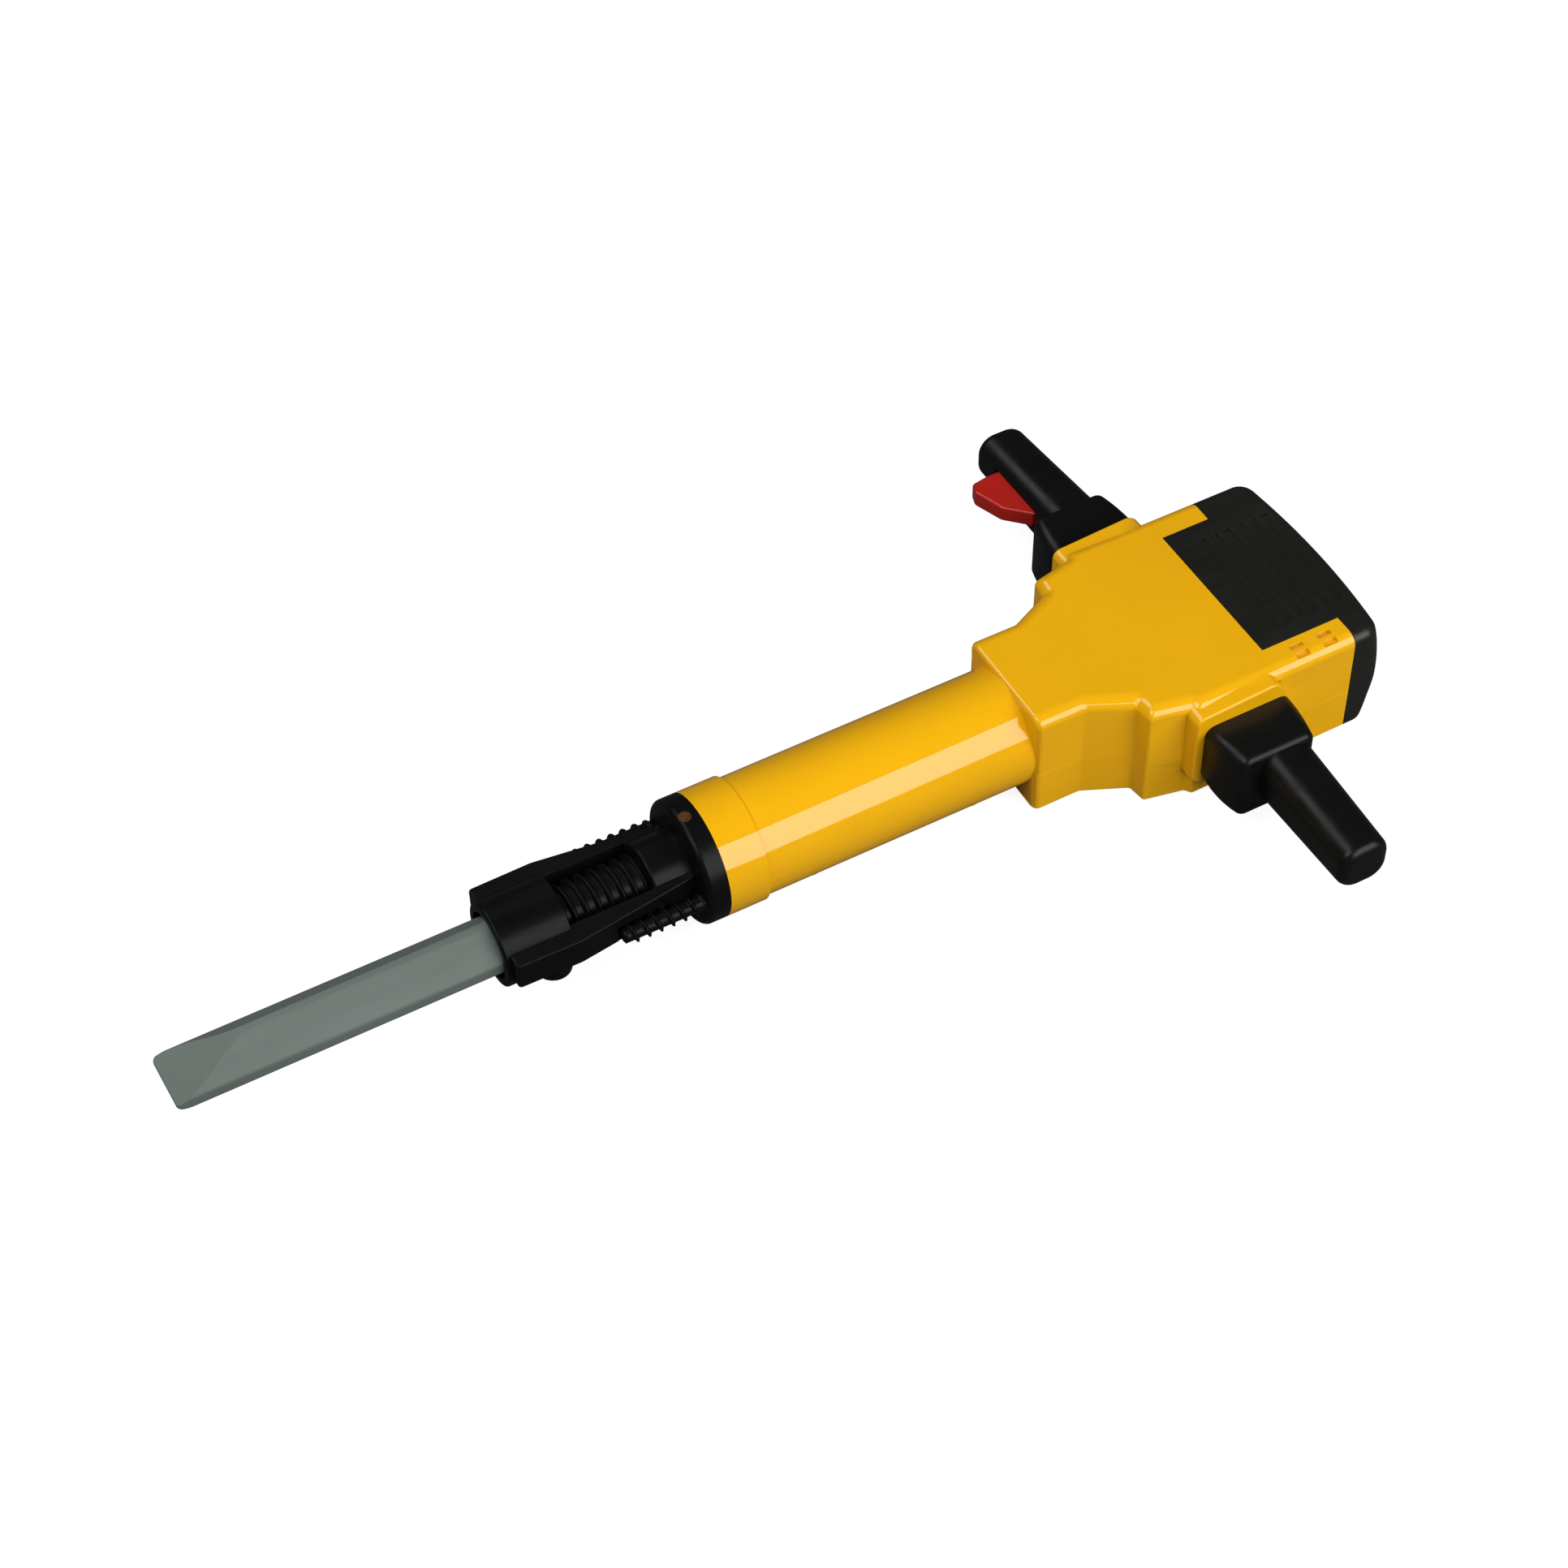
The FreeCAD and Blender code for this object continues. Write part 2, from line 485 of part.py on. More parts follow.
cap_shell = cut("cap_shell", cap_solid, cap_hollow, *ribs)
finish("rear_cap", fuse("cap_body", cap_shell, *cap_webs, *cap_lips))

# ---------------------------------------------------------------- barrel front
finish("barrel_end_ring", cut("end_ring", rod("ring_blank", "x", "ring_rad", "barrel_front_x", "ring_rear_x"),
                              rod("ring_hole", "x", "barrel_rad", "barrel_front_x - 1", "ring_rear_x + 1")))
collar_blank = turned("collar_blank", rounded([
    ("collar_front_x", "shank_rad + run_gap", 0), ("collar_front_x", "ring_rad", 3),
    ("barrel_front_x", "ring_rad", 0), ("barrel_front_x", "spigot_rad", 0),
    ("spigot_rear_x", "spigot_rad", 0.5), ("spigot_rear_x", "shank_rad + run_gap", 0)]))
lamp_seat = rod("lamp_seat", "z", "lamp_rad", "lamp_seat_z", "ring_rad + 2", ("lamp_x", "0"))
led_seat = rod("led_seat", "z", "led_rad", "led_seat_z", "ring_rad", ("lamp_x", "0"))
finish("nose_collar", cut("collar", collar_blank, lamp_seat, led_seat))
finish("lamp_lens", rod("lens", "z", "lamp_rad", "lamp_seat_z", "ring_rad", ("lamp_x", "0")))
finish("lamp_led", rod("led", "z", "led_rad", "led_seat_z", "lamp_seat_z", ("lamp_x", "0")))

# ---------------------------------------------------------------- nose
wing_side = [
    ("wing_front_x", "wing_half", 1.6), ("wing_kink_x", "wing_half + 0.4", 4),
    ("wing_waist_x", "wing_waist_half", 4), ("collar_front_x", "wing_tail_half", 0)]
wing_plan = rounded(wing_side + [(x, f"0 - ({y})", radius) for x, y, radius in reversed(wing_side)])


def wing_rims(edge):
    return flat_edges_at(value("wing_top_z"))(edge) or flat_edges_at(value("wing_bottom_z"))(edge)


wings = soften(pad("wings", "XY_Plane", wing_plan, "wing_bottom_z", "wing_top_z"), "0.8", wing_rims)
sleeve = turned("sleeve", rounded([
    ("sleeve_front_x", "sleeve_bore", 0), ("sleeve_front_x", "sleeve_rad", 1.2),
    ("pocket_front_x", "sleeve_rad", 1.0), ("pocket_front_x", "shank_rad + run_gap", 0),
    ("sleeve_wall_x", "shank_rad + run_gap", 0), ("sleeve_wall_x", "sleeve_bore", 0)]))
neck = turned("neck", rounded([
    ("pocket_rear_x", "shank_rad + run_gap", 0), ("pocket_rear_x", "neck_rad", 1.2),
    ("collar_front_x", "neck_rad", 0), ("collar_front_x", "shank_rad + run_gap", 0)]))
nose_bosses = [rod(f"nose_boss{i}", "z", "nose_boss_rad", "nose_boss_z", "0", ("nose_boss_x", y))
               for i, y in enumerate(("nose_boss_y", "0 - nose_boss_y"))]
pocket = box("pocket", ("pocket_front_x", "pocket_rear_x"), around("0", "pocket_half"), ("0 - 30", "30"))
bar_room = rod("bar_room", "x", "sleeve_bore", "sleeve_front_x - 1", "sleeve_wall_x")
shank_room = rod("shank_room", "x", "shank_rad + run_gap", "sleeve_wall_x - 1", "collar_front_x + 1")
rod_seats = [rod(f"rod_seat{i}", "x", "side_ring_rad + run_gap", "side_rod_front_x - 0.4",
                 "collar_front_x + 1", (y, "0")) for i, y in enumerate(("side_rod_y", "0 - side_rod_y"))]
nose_blank = fuse("nose_blank", cut("wing_frame", wings, pocket), sleeve, neck, *nose_bosses)
finish("nose_frame", cut("nose", nose_blank, bar_room, shank_room, *rod_seats))


def ribbed(name, crest, root, bore, front, rings, pitch):
    """A half outline with rounded rings, like a moulded imitation of a coil spring."""
    points = [(front, bore, 0)]
    for number in range(rings):
        start = f"{front} + {number} * {pitch}"
        points += [(f"{start}", crest, 0.7), (f"{start} + 0.55 * {pitch}", crest, 0.7),
                   (f"{start} + 0.55 * {pitch}", root, 0.4), (f"{start} + {pitch}", root, 0.4)]
    points[-1] = (points[-1][0], root, 0)
    points.append((points[-1][0], bore, 0))
    return turned(name, rounded(points))


finish("nose_bellows", ribbed("bellows", "bellows_crest", "bellows_root", "bellows_bore", "pocket_front_x", 7,
                              "(pocket_rear_x - pocket_front_x) / 7"))
side_rods = []
for number, y in enumerate(("side_rod_y", "0 - side_rod_y")):
    core = turned(f"side_core{number}", rounded([
        ("side_rod_front_x", "0", 0), ("side_rod_front_x", "side_rod_rad", 2),
        ("collar_front_x", "side_rod_rad", 0), ("collar_front_x", "0", 0)]))
    rings = [rod(f"side_ring{number}_{i}", "x", "side_ring_rad",
                 *around(f"side_rod_front_x + 6 + {i} * bellows_pitch", "1.4")) for i in range(6)]
    side_rods.append(put(fuse(f"side_rod{number}", core, *rings), 0, y, 0))
finish("side_springs", group("side_rods", *side_rods))

# ---------------------------------------------------------------- chisel
BAR_EDGE_ROUND = 2.5
bar = pad("bar", "YZ_Plane", rounded([(across, up, BAR_EDGE_ROUND) for across, up in (
    ("bar_flat", "bar_reach"), ("bar_reach", "bar_side"), ("bar_reach", "0 - bar_side"),
    ("bar_flat", "0 - bar_reach"), ("0 - bar_flat", "0 - bar_reach"), ("0 - bar_reach", "0 - bar_side"),
    ("0 - bar_reach", "bar_side"), ("0 - bar_flat", "bar_reach"))]), "tip_x", "bar_rear_x")
wedge = pad("wedge", "XZ_Plane", rounded([
    ("tip_x", "0 - tip_half_thick", 0.5), ("apex_x", "0 - bar_reach", 0), ("0", "0 - bar_reach - 8", 0),
    ("0", "bar_reach + 8", 0), ("apex_x", "bar_reach", 0), ("tip_x", "tip_half_thick", 0.5)]), "0 - 20", "20")
tip_plan = pad("tip_plan", "XY_Plane", rounded([
    ("tip_x", "0 - bar_reach - 0.2", 2.5), ("0", "0 - bar_reach - 0.2", 0), ("0", "bar_reach + 0.2", 0),
    ("tip_x", "bar_reach + 0.2", 2.5)]), "0 - 20", "20")
flutes = []
flank_angle = math.atan2(DIMS["bar_reach"] - DIMS["bar_flat"], DIMS["bar_reach"] - DIMS["bar_side"])
flank_distance = DIMS["bar_flat"] * math.cos(flank_angle) + DIMS["bar_reach"] * math.sin(flank_angle)
flute_centre = flank_distance + DIMS["flute_rad"] - DIMS["flute_depth"]
flute_y = flute_centre * math.cos(flank_angle) - DIMS["flute_shift"] * math.sin(flank_angle)
flute_z = flute_centre * math.sin(flank_angle) + DIMS["flute_shift"] * math.cos(flank_angle)
for number, (side, height) in enumerate(((1, 1), (-1, 1), (-1, -1), (1, -1))):
    across, up = side * flute_y, height * flute_z
    groove = rod(f"flute{number}", "x", "flute_rad", "tip_x - 5", "flute_start_x", (across, up))
    runout = doc.addObject("Part::Torus", f"flute_end{number}")
    runout.setExpression("Radius1", bound("flute_runout"))
    runout.setExpression("Radius2", bound("flute_rad"))
    away = FreeCAD.Vector(0, side * math.cos(flank_angle), height * math.sin(flank_angle))
    ring_axis = away.cross(FreeCAD.Vector(1, 0, 0))
    runout.Placement.Rotation = FreeCAD.Rotation(FreeCAD.Vector(0, 0, 1), ring_axis)
    put(runout, "flute_start_x", across + DIMS["flute_runout"] * away.y, up + DIMS["flute_runout"] * away.z)
    flutes += [groove, runout]
shank = rod("shank", "x", "shank_rad", "bar_rear_x - 1", "shank_rear_x")
chisel_bar = common("chisel_bar", common("chisel_wedge", bar, wedge), tip_plan)
for number, tool in enumerate(flutes):
    chisel_bar = cut(f"chisel_fluted{number}", chisel_bar, tool)
finish("chisel", fuse("chisel_whole", chisel_bar, shank))


def washer(label, radius, bore, low, thick):
    """A flat ring about the tool's axis."""
    blank = rod(label + "_blank", "x", radius, low, f"{low} + {thick}")
    finish(label, cut(label + "_ring", blank, rod(label + "_hole", "x", bore, f"{low} - 1", f"{low} + 9")))


washer("shank_stop_ring", "stop_ring_rad", "shank_rad", "spigot_rear_x", "stop_ring_thick")
washer("shank_bulkhead", "barrel_bore", "shank_rad + run_gap", "bulkhead_x", "bulkhead_thick")
spring_front = "spigot_rear_x + stop_ring_thick + spring_wire"
finish("return_spring", coil("spring_coil", "spring_rad", "spring_wire", "spring_turns",
                             f"bulkhead_x - spring_wire - ({spring_front})", FreeCAD.Vector(1, 0, 0),
                             (spring_front, "0", "0")))

# ---------------------------------------------------------------- grips
def grip_section(front, rear, middle, half, corner="block_corner"):
    low, high = f"{middle} - {half}", f"{middle} + {half}"
    return rounded([(front, low, corner), (rear, low, corner), (rear, high, corner), (front, high, corner)])


def span(side, near, far):
    """Limits along Y for one side of the tool: side is + or -."""
    return (near, far) if side == "+" else (f"0 - ({far})", f"0 - ({near})")


def across_at(distance):
    """Edges that lie square across the tool at a distance from its axis."""
    def test(edge):
        bounds = edge.BoundBox
        return abs(abs(bounds.Center.y) - distance) < 0.01 and bounds.YLength < 0.01
    return test


def grip(label, side, with_trigger):
    """One side grip: a tapered base block and a handle, moulded together in two halves."""
    outward = "0 - " if side == "+" else ""
    shift = "trigger_handle_shift" if with_trigger else "0"
    block = loft(label + "_block", "XZ_Plane", [
        (grip_section("block_root_front_x", "block_root_rear_x", "block_mid_z", "block_root_half_z"),
         f"{outward}boss_half"),
        (grip_section("block_root_front_x - 0.4", "block_root_rear_x - 1.6", "block_mid_z",
                      "block_belly_half_z"), f"{outward}block_belly_y"),
        (grip_section("block_out_front_x", "block_out_rear_x", "block_mid_z", "block_out_half_z"),
         f"{outward}block_out")])
    block = soften(block, "block_round", across_at(value("block_out")))
    handle = loft(label + "_handle", "XZ_Plane", [
        (grip_section(f"handle_root_front_x - {shift} / 2", "handle_root_rear_x", "handle_mid_z",
                      "handle_root_half_z", "handle_corner"), f"{outward}(block_out - 2)"),
        (grip_section(f"handle_end_front_x - {shift}", f"handle_end_rear_x - {shift}", "grip_mid_z",
                      "handle_end_half_z", "handle_corner"), f"{outward}grip_end")])
    handle = soften(handle, "grip_end_round", across_at(value("grip_end")))
    spigot = box(label + "_spigot", ("spigot_front_x", "spigot_back_x"),
                 span(side, "boss_half - spigot_depth", "boss_half + 2"), around("grip_mid_z", "spigot_half_z"))
    hollows = [
        box(label + "_hollow", ("grip_cavity_front_x", "grip_cavity_rear_x"),
            span(side, "boss_half - 9", "grip_cavity_end"), around("grip_mid_z", "grip_cavity_half_z")),
        box(label + "_block_hollow", ("spigot_front_x + 2", "spigot_back_x - 4"),
            span(side, "boss_half - 9", "block_out - 3"),
            ("grip_mid_z - spigot_half_z + 2", "grip_mid_z + spigot_half_z - 2"))]
    columns, tools, fasteners = [], [], []
    for number, (x, y, seat) in enumerate((("82", "67", "11"), ("83.5", "128.5", "6.4"))):
        place = (x, y if side == "+" else f"0 - {y}")
        head_z = f"grip_mid_z - {seat}"
        columns.append(rod(f"{label}_column{number}", "z", "grip_column_rad", "grip_mid_z - 10",
                           "grip_mid_z + 10.2", place))
        tools += [
            rod(f"{label}_head_hole{number}", "z", "grip_head_hole_rad", "grip_mid_z - 20", head_z, place),
            rod(f"{label}_clear{number}", "z", "grip_clear_rad", f"{head_z} - 1", "grip_mid_z", place),
            rod(f"{label}_pilot{number}", "z", "grip_pilot_rad", "grip_mid_z", "grip_mid_z + 8", place)]
        head = rod(f"{label}_head{number}", "z", "grip_head_rad", f"{head_z} - 1.5", head_z, place)
        thread = rod(f"{label}_thread{number}", "z", "grip_pilot_rad", head_z, "grip_mid_z + 7", place)
        fasteners.append(fuse(f"{label}_screw{number}", head, thread))
    if with_trigger:
        tools += [box("trigger_slot", ("50", "grip_cavity_front_x + 1"), ("pivot_y - 3.5", "122.9"),
                      ("trigger_low_z - 0.3", "trigger_high_z + 0.3")),
                  rod("trigger_pin_hole", "z", "pivot_rad", *around("grip_mid_z", "pin_half"),
                      ("pivot_x", "pivot_y"))]
    hollowed = cut(label + "_hollowed", fuse(label + "_form", block, handle, spigot), *hollows)
    whole = cut(label + "_whole", fuse(label + "_stiffened", hollowed, *columns), *tools)
    lower_half = box(label + "_lower_half", ("0", "200"), ("0 - 200", "200"), ("0 - 60", "grip_mid_z"))
    finish(label + "_upper", cut(label + "_top", whole, lower_half))
    finish(label + "_lower", common(label + "_base", whole, lower_half))
    return fasteners


grip_fasteners = grip("trigger_grip", "+", True) + grip("plain_grip", "-", False)
finish("grip_screws", group("all_grip_screws", *grip_fasteners))

# ---------------------------------------------------------------- trigger and switch
def lever_rims(edge):
    return flat_edges_at(value("trigger_low_z"))(edge) or flat_edges_at(value("trigger_high_z"))(edge)


trigger_low, trigger_high = "trigger_low_z", "trigger_high_z"
lever = pad("lever", "XY_Plane", rounded([
    ("trigger_back_x", "pivot_y - 2.9", 0), ("71", "pivot_y - 2.4", 1), ("61", "101", 5), ("55.9", "114.6", 3),
    ("57.6", "120", 2), ("65.5", "121.2", 1.5), ("trigger_back_x", "121.2", 0)]), trigger_low, trigger_high)
lever = soften(lever, "1.1", lever_rims)
ear = rod("ear", "z", "3", trigger_low, trigger_high, ("pivot_x", "pivot_y"))
pivot_hole = rod("pivot_hole", "z", "pivot_rad + run_gap", "0 - 20", "20", ("pivot_x", "pivot_y"))
finish("trigger", cut("trigger_whole", fuse("trigger_blank", lever, ear), pivot_hole))
pin_ends = around("grip_mid_z", "pin_half")
finish("trigger_pin", rod("pivot_pin", "z", "pivot_rad", *pin_ends, ("pivot_x", "pivot_y")))
finish("trigger_spring", coil("trigger_coil", "trigger_spring_rad", "0.35", "6",
                              "grip_cavity_rear_x - trigger_back_x - 0.9", FreeCAD.Vector(1, 0, 0),
                              ("trigger_back_x + 0.45", "trigger_spring_y", "grip_mid_z")))
switch_block = box("switch_block", ("switch_front_x", "switch_rear_x"), ("98.5", "109.5"),
                   ("grip_mid_z - grip_cavity_half_z", "grip_mid_z + 3.4"))
switch_bore = rod("switch_bore", "x", "plunger_rad + run_gap", "switch_front_x - 1", "switch_front_x + 4",
                  ("plunger_y", "grip_mid_z"))
finish("switch_body", cut("switch_case", switch_block, switch_bore))
dome_x = "trigger_back_x + run_gap + plunger_rad"
plunger_dome = doc.addObject("Part::Sphere", "plunger_dome")
plunger_dome.setExpression("Radius", bound("plunger_rad"))
put(plunger_dome, dome_x, "plunger_y", "grip_mid_z")
plunger_stem = rod("plunger_stem", "x", "plunger_rad", dome_x, "switch_front_x + 2",
                   ("plunger_y", "grip_mid_z"))
finish("switch_plunger", fuse("plunger", plunger_dome, plunger_stem))

# ---------------------------------------------------------------- batteries
# A folded leaf spring: (out from the tray wall, up from the cell's axis, corner radius).
LEAF_CONTACT = [(0, -4, 0), (0, 4.5, 0), (0.9, 4.5, 0.3), (3.6, 0, 0.5), (1.6, -3.8, 0), (1.3, -3.6, 0),
                (3.1, 0, 0.3), (0.7, 4.1, 0.1), (0.3, 4.1, 0), (0.3, -4, 0)]
tray_posts = [rod(f"tray_post{i}", "z", "1.8", "tray_top_z - 0.5", "board_low_z", place)
              for i, place in enumerate((("70", "13"), ("70", "0 - 13"), ("102", "13"), ("102", "0 - 13")))]
tray_block = box("tray_block", ("tray_front_x", "tray_rear_x"), ("0 - tray_half", "tray_half"),
                 ("bottom_z + door_thick", "tray_top_z"))
tray_hollow = box("tray_hollow", ("tray_front_x + tray_wall", "tray_rear_x - tray_wall"),
                  ("tray_wall - tray_half", "tray_half - tray_wall"), ("bottom_z", "tray_top_z - tray_wall"))
finish("battery_tray", fuse("tray", cut("tray_box", tray_block, tray_hollow), *tray_posts))
cells, contacts = [], []
for number, rearward in enumerate((1, -1, 1)):
    y = f"{number - 1} * cell_pitch"
    near_wall = "(tray_front_x + tray_wall)" if rearward > 0 else "(tray_rear_x - tray_wall)"
    far_wall = "(tray_rear_x - tray_wall)" if rearward > 0 else "(tray_front_x + tray_wall)"
    foot = f"{near_wall} + {rearward} * leaf_reach"
    crown = f"{foot} + {rearward} * cell_length"
    nub = f"{crown} + {rearward} * nub_length"
    can_ends, nub_ends = ((foot, crown), (crown, nub)) if rearward > 0 else ((crown, foot), (nub, crown))
    cells.append(fuse(f"cell{number}", rod(f"cell_can{number}", "x", "cell_rad", *can_ends, (y, "cell_z")),
                      rod(f"cell_nub{number}", "x", "nub_rad", *nub_ends, (y, "cell_z"))))
    leaf = rounded([(f"{near_wall} + {rearward} * {out}", f"cell_z + {up}", radius)
                    for out, up, radius in LEAF_CONTACT])
    contacts.append(pad(f"contact_leaf{number}", "XZ_Plane", leaf, *around(y, "contact_half_y")))
    if rearward > 0:
        plate_ends = (f"{far_wall} - plate_thick", far_wall)
    else:
        plate_ends = (far_wall, f"{far_wall} + plate_thick")
    contacts.append(box(f"contact_plate{number}", plate_ends, around(y, "contact_half_y"),
                        around("cell_z", "4")))
finish("aa_cells", group("all_cells", *cells))
finish("battery_contacts", group("all_contacts", *contacts))
door_panel = box("door_panel", ("door_front_x", "door_rear_x"), ("0 - door_half", "door_half"),
                 ("bottom_z", "bottom_z + door_thick"))
door_tab = box("door_tab", ("door_rear_x - 1", "door_tab_x"), ("0 - door_tab_half", "door_tab_half"),
               ("bottom_z", "bottom_z + door_thick"))
door_grips = [box(f"door_grip{i}", (f"66 + {i} * 2.4", f"67.2 + {i} * 2.4"), ("0 - 9", "9"),
                  ("bottom_z - 1", "bottom_z + 0.6")) for i in range(5)]
door_screw_place = ("door_screw_x", "0")
door_sink_z = "bottom_z + 0.9"
finish("battery_door", cut("door", fuse("door_blank", door_panel, door_tab), *door_grips,
                           rod("door_screw_clear", "z", "1.6", "bottom_z", "0", door_screw_place),
                           rod("door_screw_sink", "z", "head_rad", "bottom_z - 1", door_sink_z,
                               door_screw_place)))
finish("door_screw", fuse("door_fastener",
                          rod("door_screw_head", "z", "2.4", "bottom_z + 0.1", door_sink_z, door_screw_place),
                          rod("door_screw_thread", "z", "pilot_rad", door_sink_z, "bottom_z + 11",
                              door_screw_place)))

# ---------------------------------------------------------------- sound and light
finish("circuit_board", box("board", ("66", "106"), ("0 - 17", "17"), ("board_low_z", "board_high_z")))
finish("board_parts", group("components",
                            box("chip", ("80", "90"), ("0 - 5", "3"), ("board_high_z", "board_high_z + 1.8")),
                            rod("capacitor", "z", "3", "board_high_z", "11", ("97", "8")),
                            box("connector", ("69", "75"), ("0 - 12", "0 - 4"), ("board_high_z", "9")),
                            box("resistor", ("84", "88"), ("8", "10"), ("board_high_z", "6"))))
SPEAKER = ("speaker_x", "speaker_y")
basket_outer = doc.addObject("Part::Cone", "basket_outer")
basket_inner = doc.addObject("Part::Cone", "basket_inner")
for cone, low, high in ((basket_outer, "7", "12"), (basket_inner, "6", "11")):
    cone.setExpression("Radius1", bound(low))
    cone.setExpression("Radius2", bound(high))
    cone.setExpression("Height", bound("5.2"))
    put(cone, *SPEAKER, "12")
basket_rim = rod("basket_rim", "z", "12.5", "17.2", "19.2", SPEAKER)
basket_mouth = rod("basket_mouth", "z", "11", "17.2", "20", SPEAKER)
finish("speaker_basket", fuse("basket", cut("basket_shell", basket_outer, basket_inner),
                              cut("basket_ring", basket_rim, basket_mouth)))
finish("speaker_magnet", rod("magnet", "z", "7", "7", "12", SPEAKER))
cone_outer = doc.addObject("Part::Cone", "cone_outer")
cone_inner = doc.addObject("Part::Cone", "cone_inner")
for cone, shift in ((cone_outer, "0"), (cone_inner, "0.5")):
    cone.setExpression("Radius1", bound("3"))
    cone.setExpression("Radius2", bound("10.4"))
    cone.setExpression("Height", bound("4"))
    put(cone, *SPEAKER, f"13.6 + {shift}")
finish("speaker_cone", cut("cone", cone_outer, cone_inner))

# ---------------------------------------------------------------- drive
def gear_outline(centre_x, teeth, offset):
    """Involute teeth with a shortened tip and a little backlash; offset is the first tooth's angle."""
    module = DIMS["gear_module"]
    pitch_rad = module * teeth / 2
    base_rad = pitch_rad * math.cos(PRESSURE_ANGLE)
    root_rad = pitch_rad - 1.05 * module
    tip_rad = pitch_rad + 0.8 * module
    half_tooth = math.pi / (2 * teeth) - 0.06 / pitch_rad + math.tan(PRESSURE_ANGLE) - PRESSURE_ANGLE
    start = max(base_rad, root_rad)
    flank = []
    for step in range(4):
        radius = start + (tip_rad - start) * step / 3
        roll = math.acos(min(1, base_rad / radius))
        flank.append((radius, half_tooth - math.tan(roll) + roll))
    if root_rad < base_rad:
        flank.insert(0, (root_rad, flank[0][1]))
    points = []
    for tooth in range(teeth):
        centre = offset + 2 * math.pi * tooth / teeth
        tooth_points = [(radius, centre - angle) for radius, angle in flank]
        tooth_points += [(radius, centre + angle) for radius, angle in reversed(flank)]
        points += [(centre_x + radius * math.cos(angle), radius * math.sin(angle), 0)
                   for radius, angle in tooth_points]
    return rounded(points)


gear_high = "gear_y + gear_width"
gear_teeth = gear_outline(DIMS["gear_x"], GEAR_TEETH, math.pi / GEAR_TEETH)
gear_disc = pad("gear_disc", "XZ_Plane", gear_teeth, "gear_y", gear_high)
gear_hub = rod("gear_hub", "y", "3.5", "gear_y - 0.7", gear_high, ("gear_x", "0"))
gear_hole = rod("gear_hole", "y", "axle_rad", "gear_y - 5", "gear_y + 9", ("gear_x", "0"))
finish("weight_gear", cut("gear", fuse("gear_blank", gear_disc, gear_hub), gear_hole))
finish("weight_axle", rod("axle", "y", "axle_rad", "0 - plate_out - 0.8", f"{gear_high} + 0.8",
                          ("gear_x", "0")))
weight_half = box("weight_half", ("gear_x - 20", "gear_x + 20"), ("0 - 20", "20"), ("0 - 20", "2.4"))
weight_round = rod("weight_round", "y", "weight_rad", "weight_low_y", "weight_high_y", ("gear_x", "0"))
weight_hole = rod("weight_hole", "y", "axle_rad", "0 - 20", "20", ("gear_x", "0"))
finish("eccentric_weight", cut("weight", common("weight_segment", weight_round, weight_half), weight_hole))
motor_axis = ("motor_x", "0")
pinion_teeth = gear_outline(DIMS["motor_x"], PINION_TEETH, 0)
pinion_disc = pad("pinion_disc", "XZ_Plane", pinion_teeth, "gear_y - 0.2", f"{gear_high} + 0.2")
finish("motor_pinion", cut("pinion", pinion_disc, rod("pinion_hole", "y", "rotor_rad", "0", "30", motor_axis)))
finish("motor_shaft", rod("rotor_shaft", "y", "rotor_rad", "0 - 13.6", f"{gear_high} + 0.6", motor_axis))
motor_barrel = rod("motor_barrel", "y", "motor_rad", "0 - motor_half", "motor_half", motor_axis)
motor_boss = rod("motor_boss", "y", "3", "motor_half", "plate_out", motor_axis)
motor_blank = fuse("motor_blank", motor_barrel, motor_boss)
motor_flats = [box(f"motor_flat{i}", ("motor_x - 12", "motor_x + 12"), ("0 - 20", "20"), span_z)
               for i, span_z in enumerate((("7.7", "12"), ("0 - 12", "0 - 7.7")))]
motor_bore = rod("motor_bore", "y", "rotor_rad + run_gap", "0 - 20", "20", motor_axis)
finish("motor_can", cut("motor", motor_blank, *motor_flats, motor_bore))
frame_length = ("frame_front_x", "frame_rear_x")
plates = [box(f"frame_plate{i}", frame_length, limits, ("frame_low_z", "frame_high_z"))
          for i, limits in enumerate((("plate_in", "plate_out"), ("0 - plate_out", "0 - plate_in")))]
web = box("frame_web", frame_length, ("0 - plate_out", "plate_out"), ("frame_low_z", "frame_floor_z"))
frame_holes = [rod("axle_bearing", "y", "axle_rad + run_gap", "0 - 20", "20", ("gear_x", "0")),
               rod("boss_seat", "y", "3", "0", "20", motor_axis),
               rod("shaft_relief", "y", "2.5", "0 - 20", "0", motor_axis)]
frame_holes += [rod(f"frame_screw_hole{i}", "z", "pilot_rad", "0 - 20", "0 - 10", place)
                for i, place in enumerate(frame_screw_places)]
finish("drive_frame", cut("frame", fuse("frame_blank", web, *plates), *frame_holes))
finish("frame_screws", group("all_frame_screws", *[
    fuse(f"frame_screw{i}",
         rod(f"frame_screw_head{i}", "z", "grip_head_rad", "frame_floor_z", "frame_floor_z + 1.4", place),
         rod(f"frame_screw_thread{i}", "z", "pilot_rad", "0 - 22", "frame_floor_z", place))
    for i, place in enumerate(frame_screw_places)]))

# ---------------------------------------------------------------- check and write
doc.recompute()
for item in doc.Objects:
    if {"Invalid", "Error"} & set(item.State):
        raise RuntimeError(f"{item.Name} did not recompute: {item.State}")
os.makedirs("parts", exist_ok=True)
for item in PARTS:
    if item.Shape.isNull() or not item.Shape.isValid():
        raise RuntimeError(f"{item.Label} has no valid shape")
    item.Shape.exportStep(f"parts/{item.Label}.step")
    print(item.Label, len(item.Shape.Solids), round(item.Shape.Volume))
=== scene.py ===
import json
import math
import bmesh
import bpy
from mathutils import Matrix, Vector


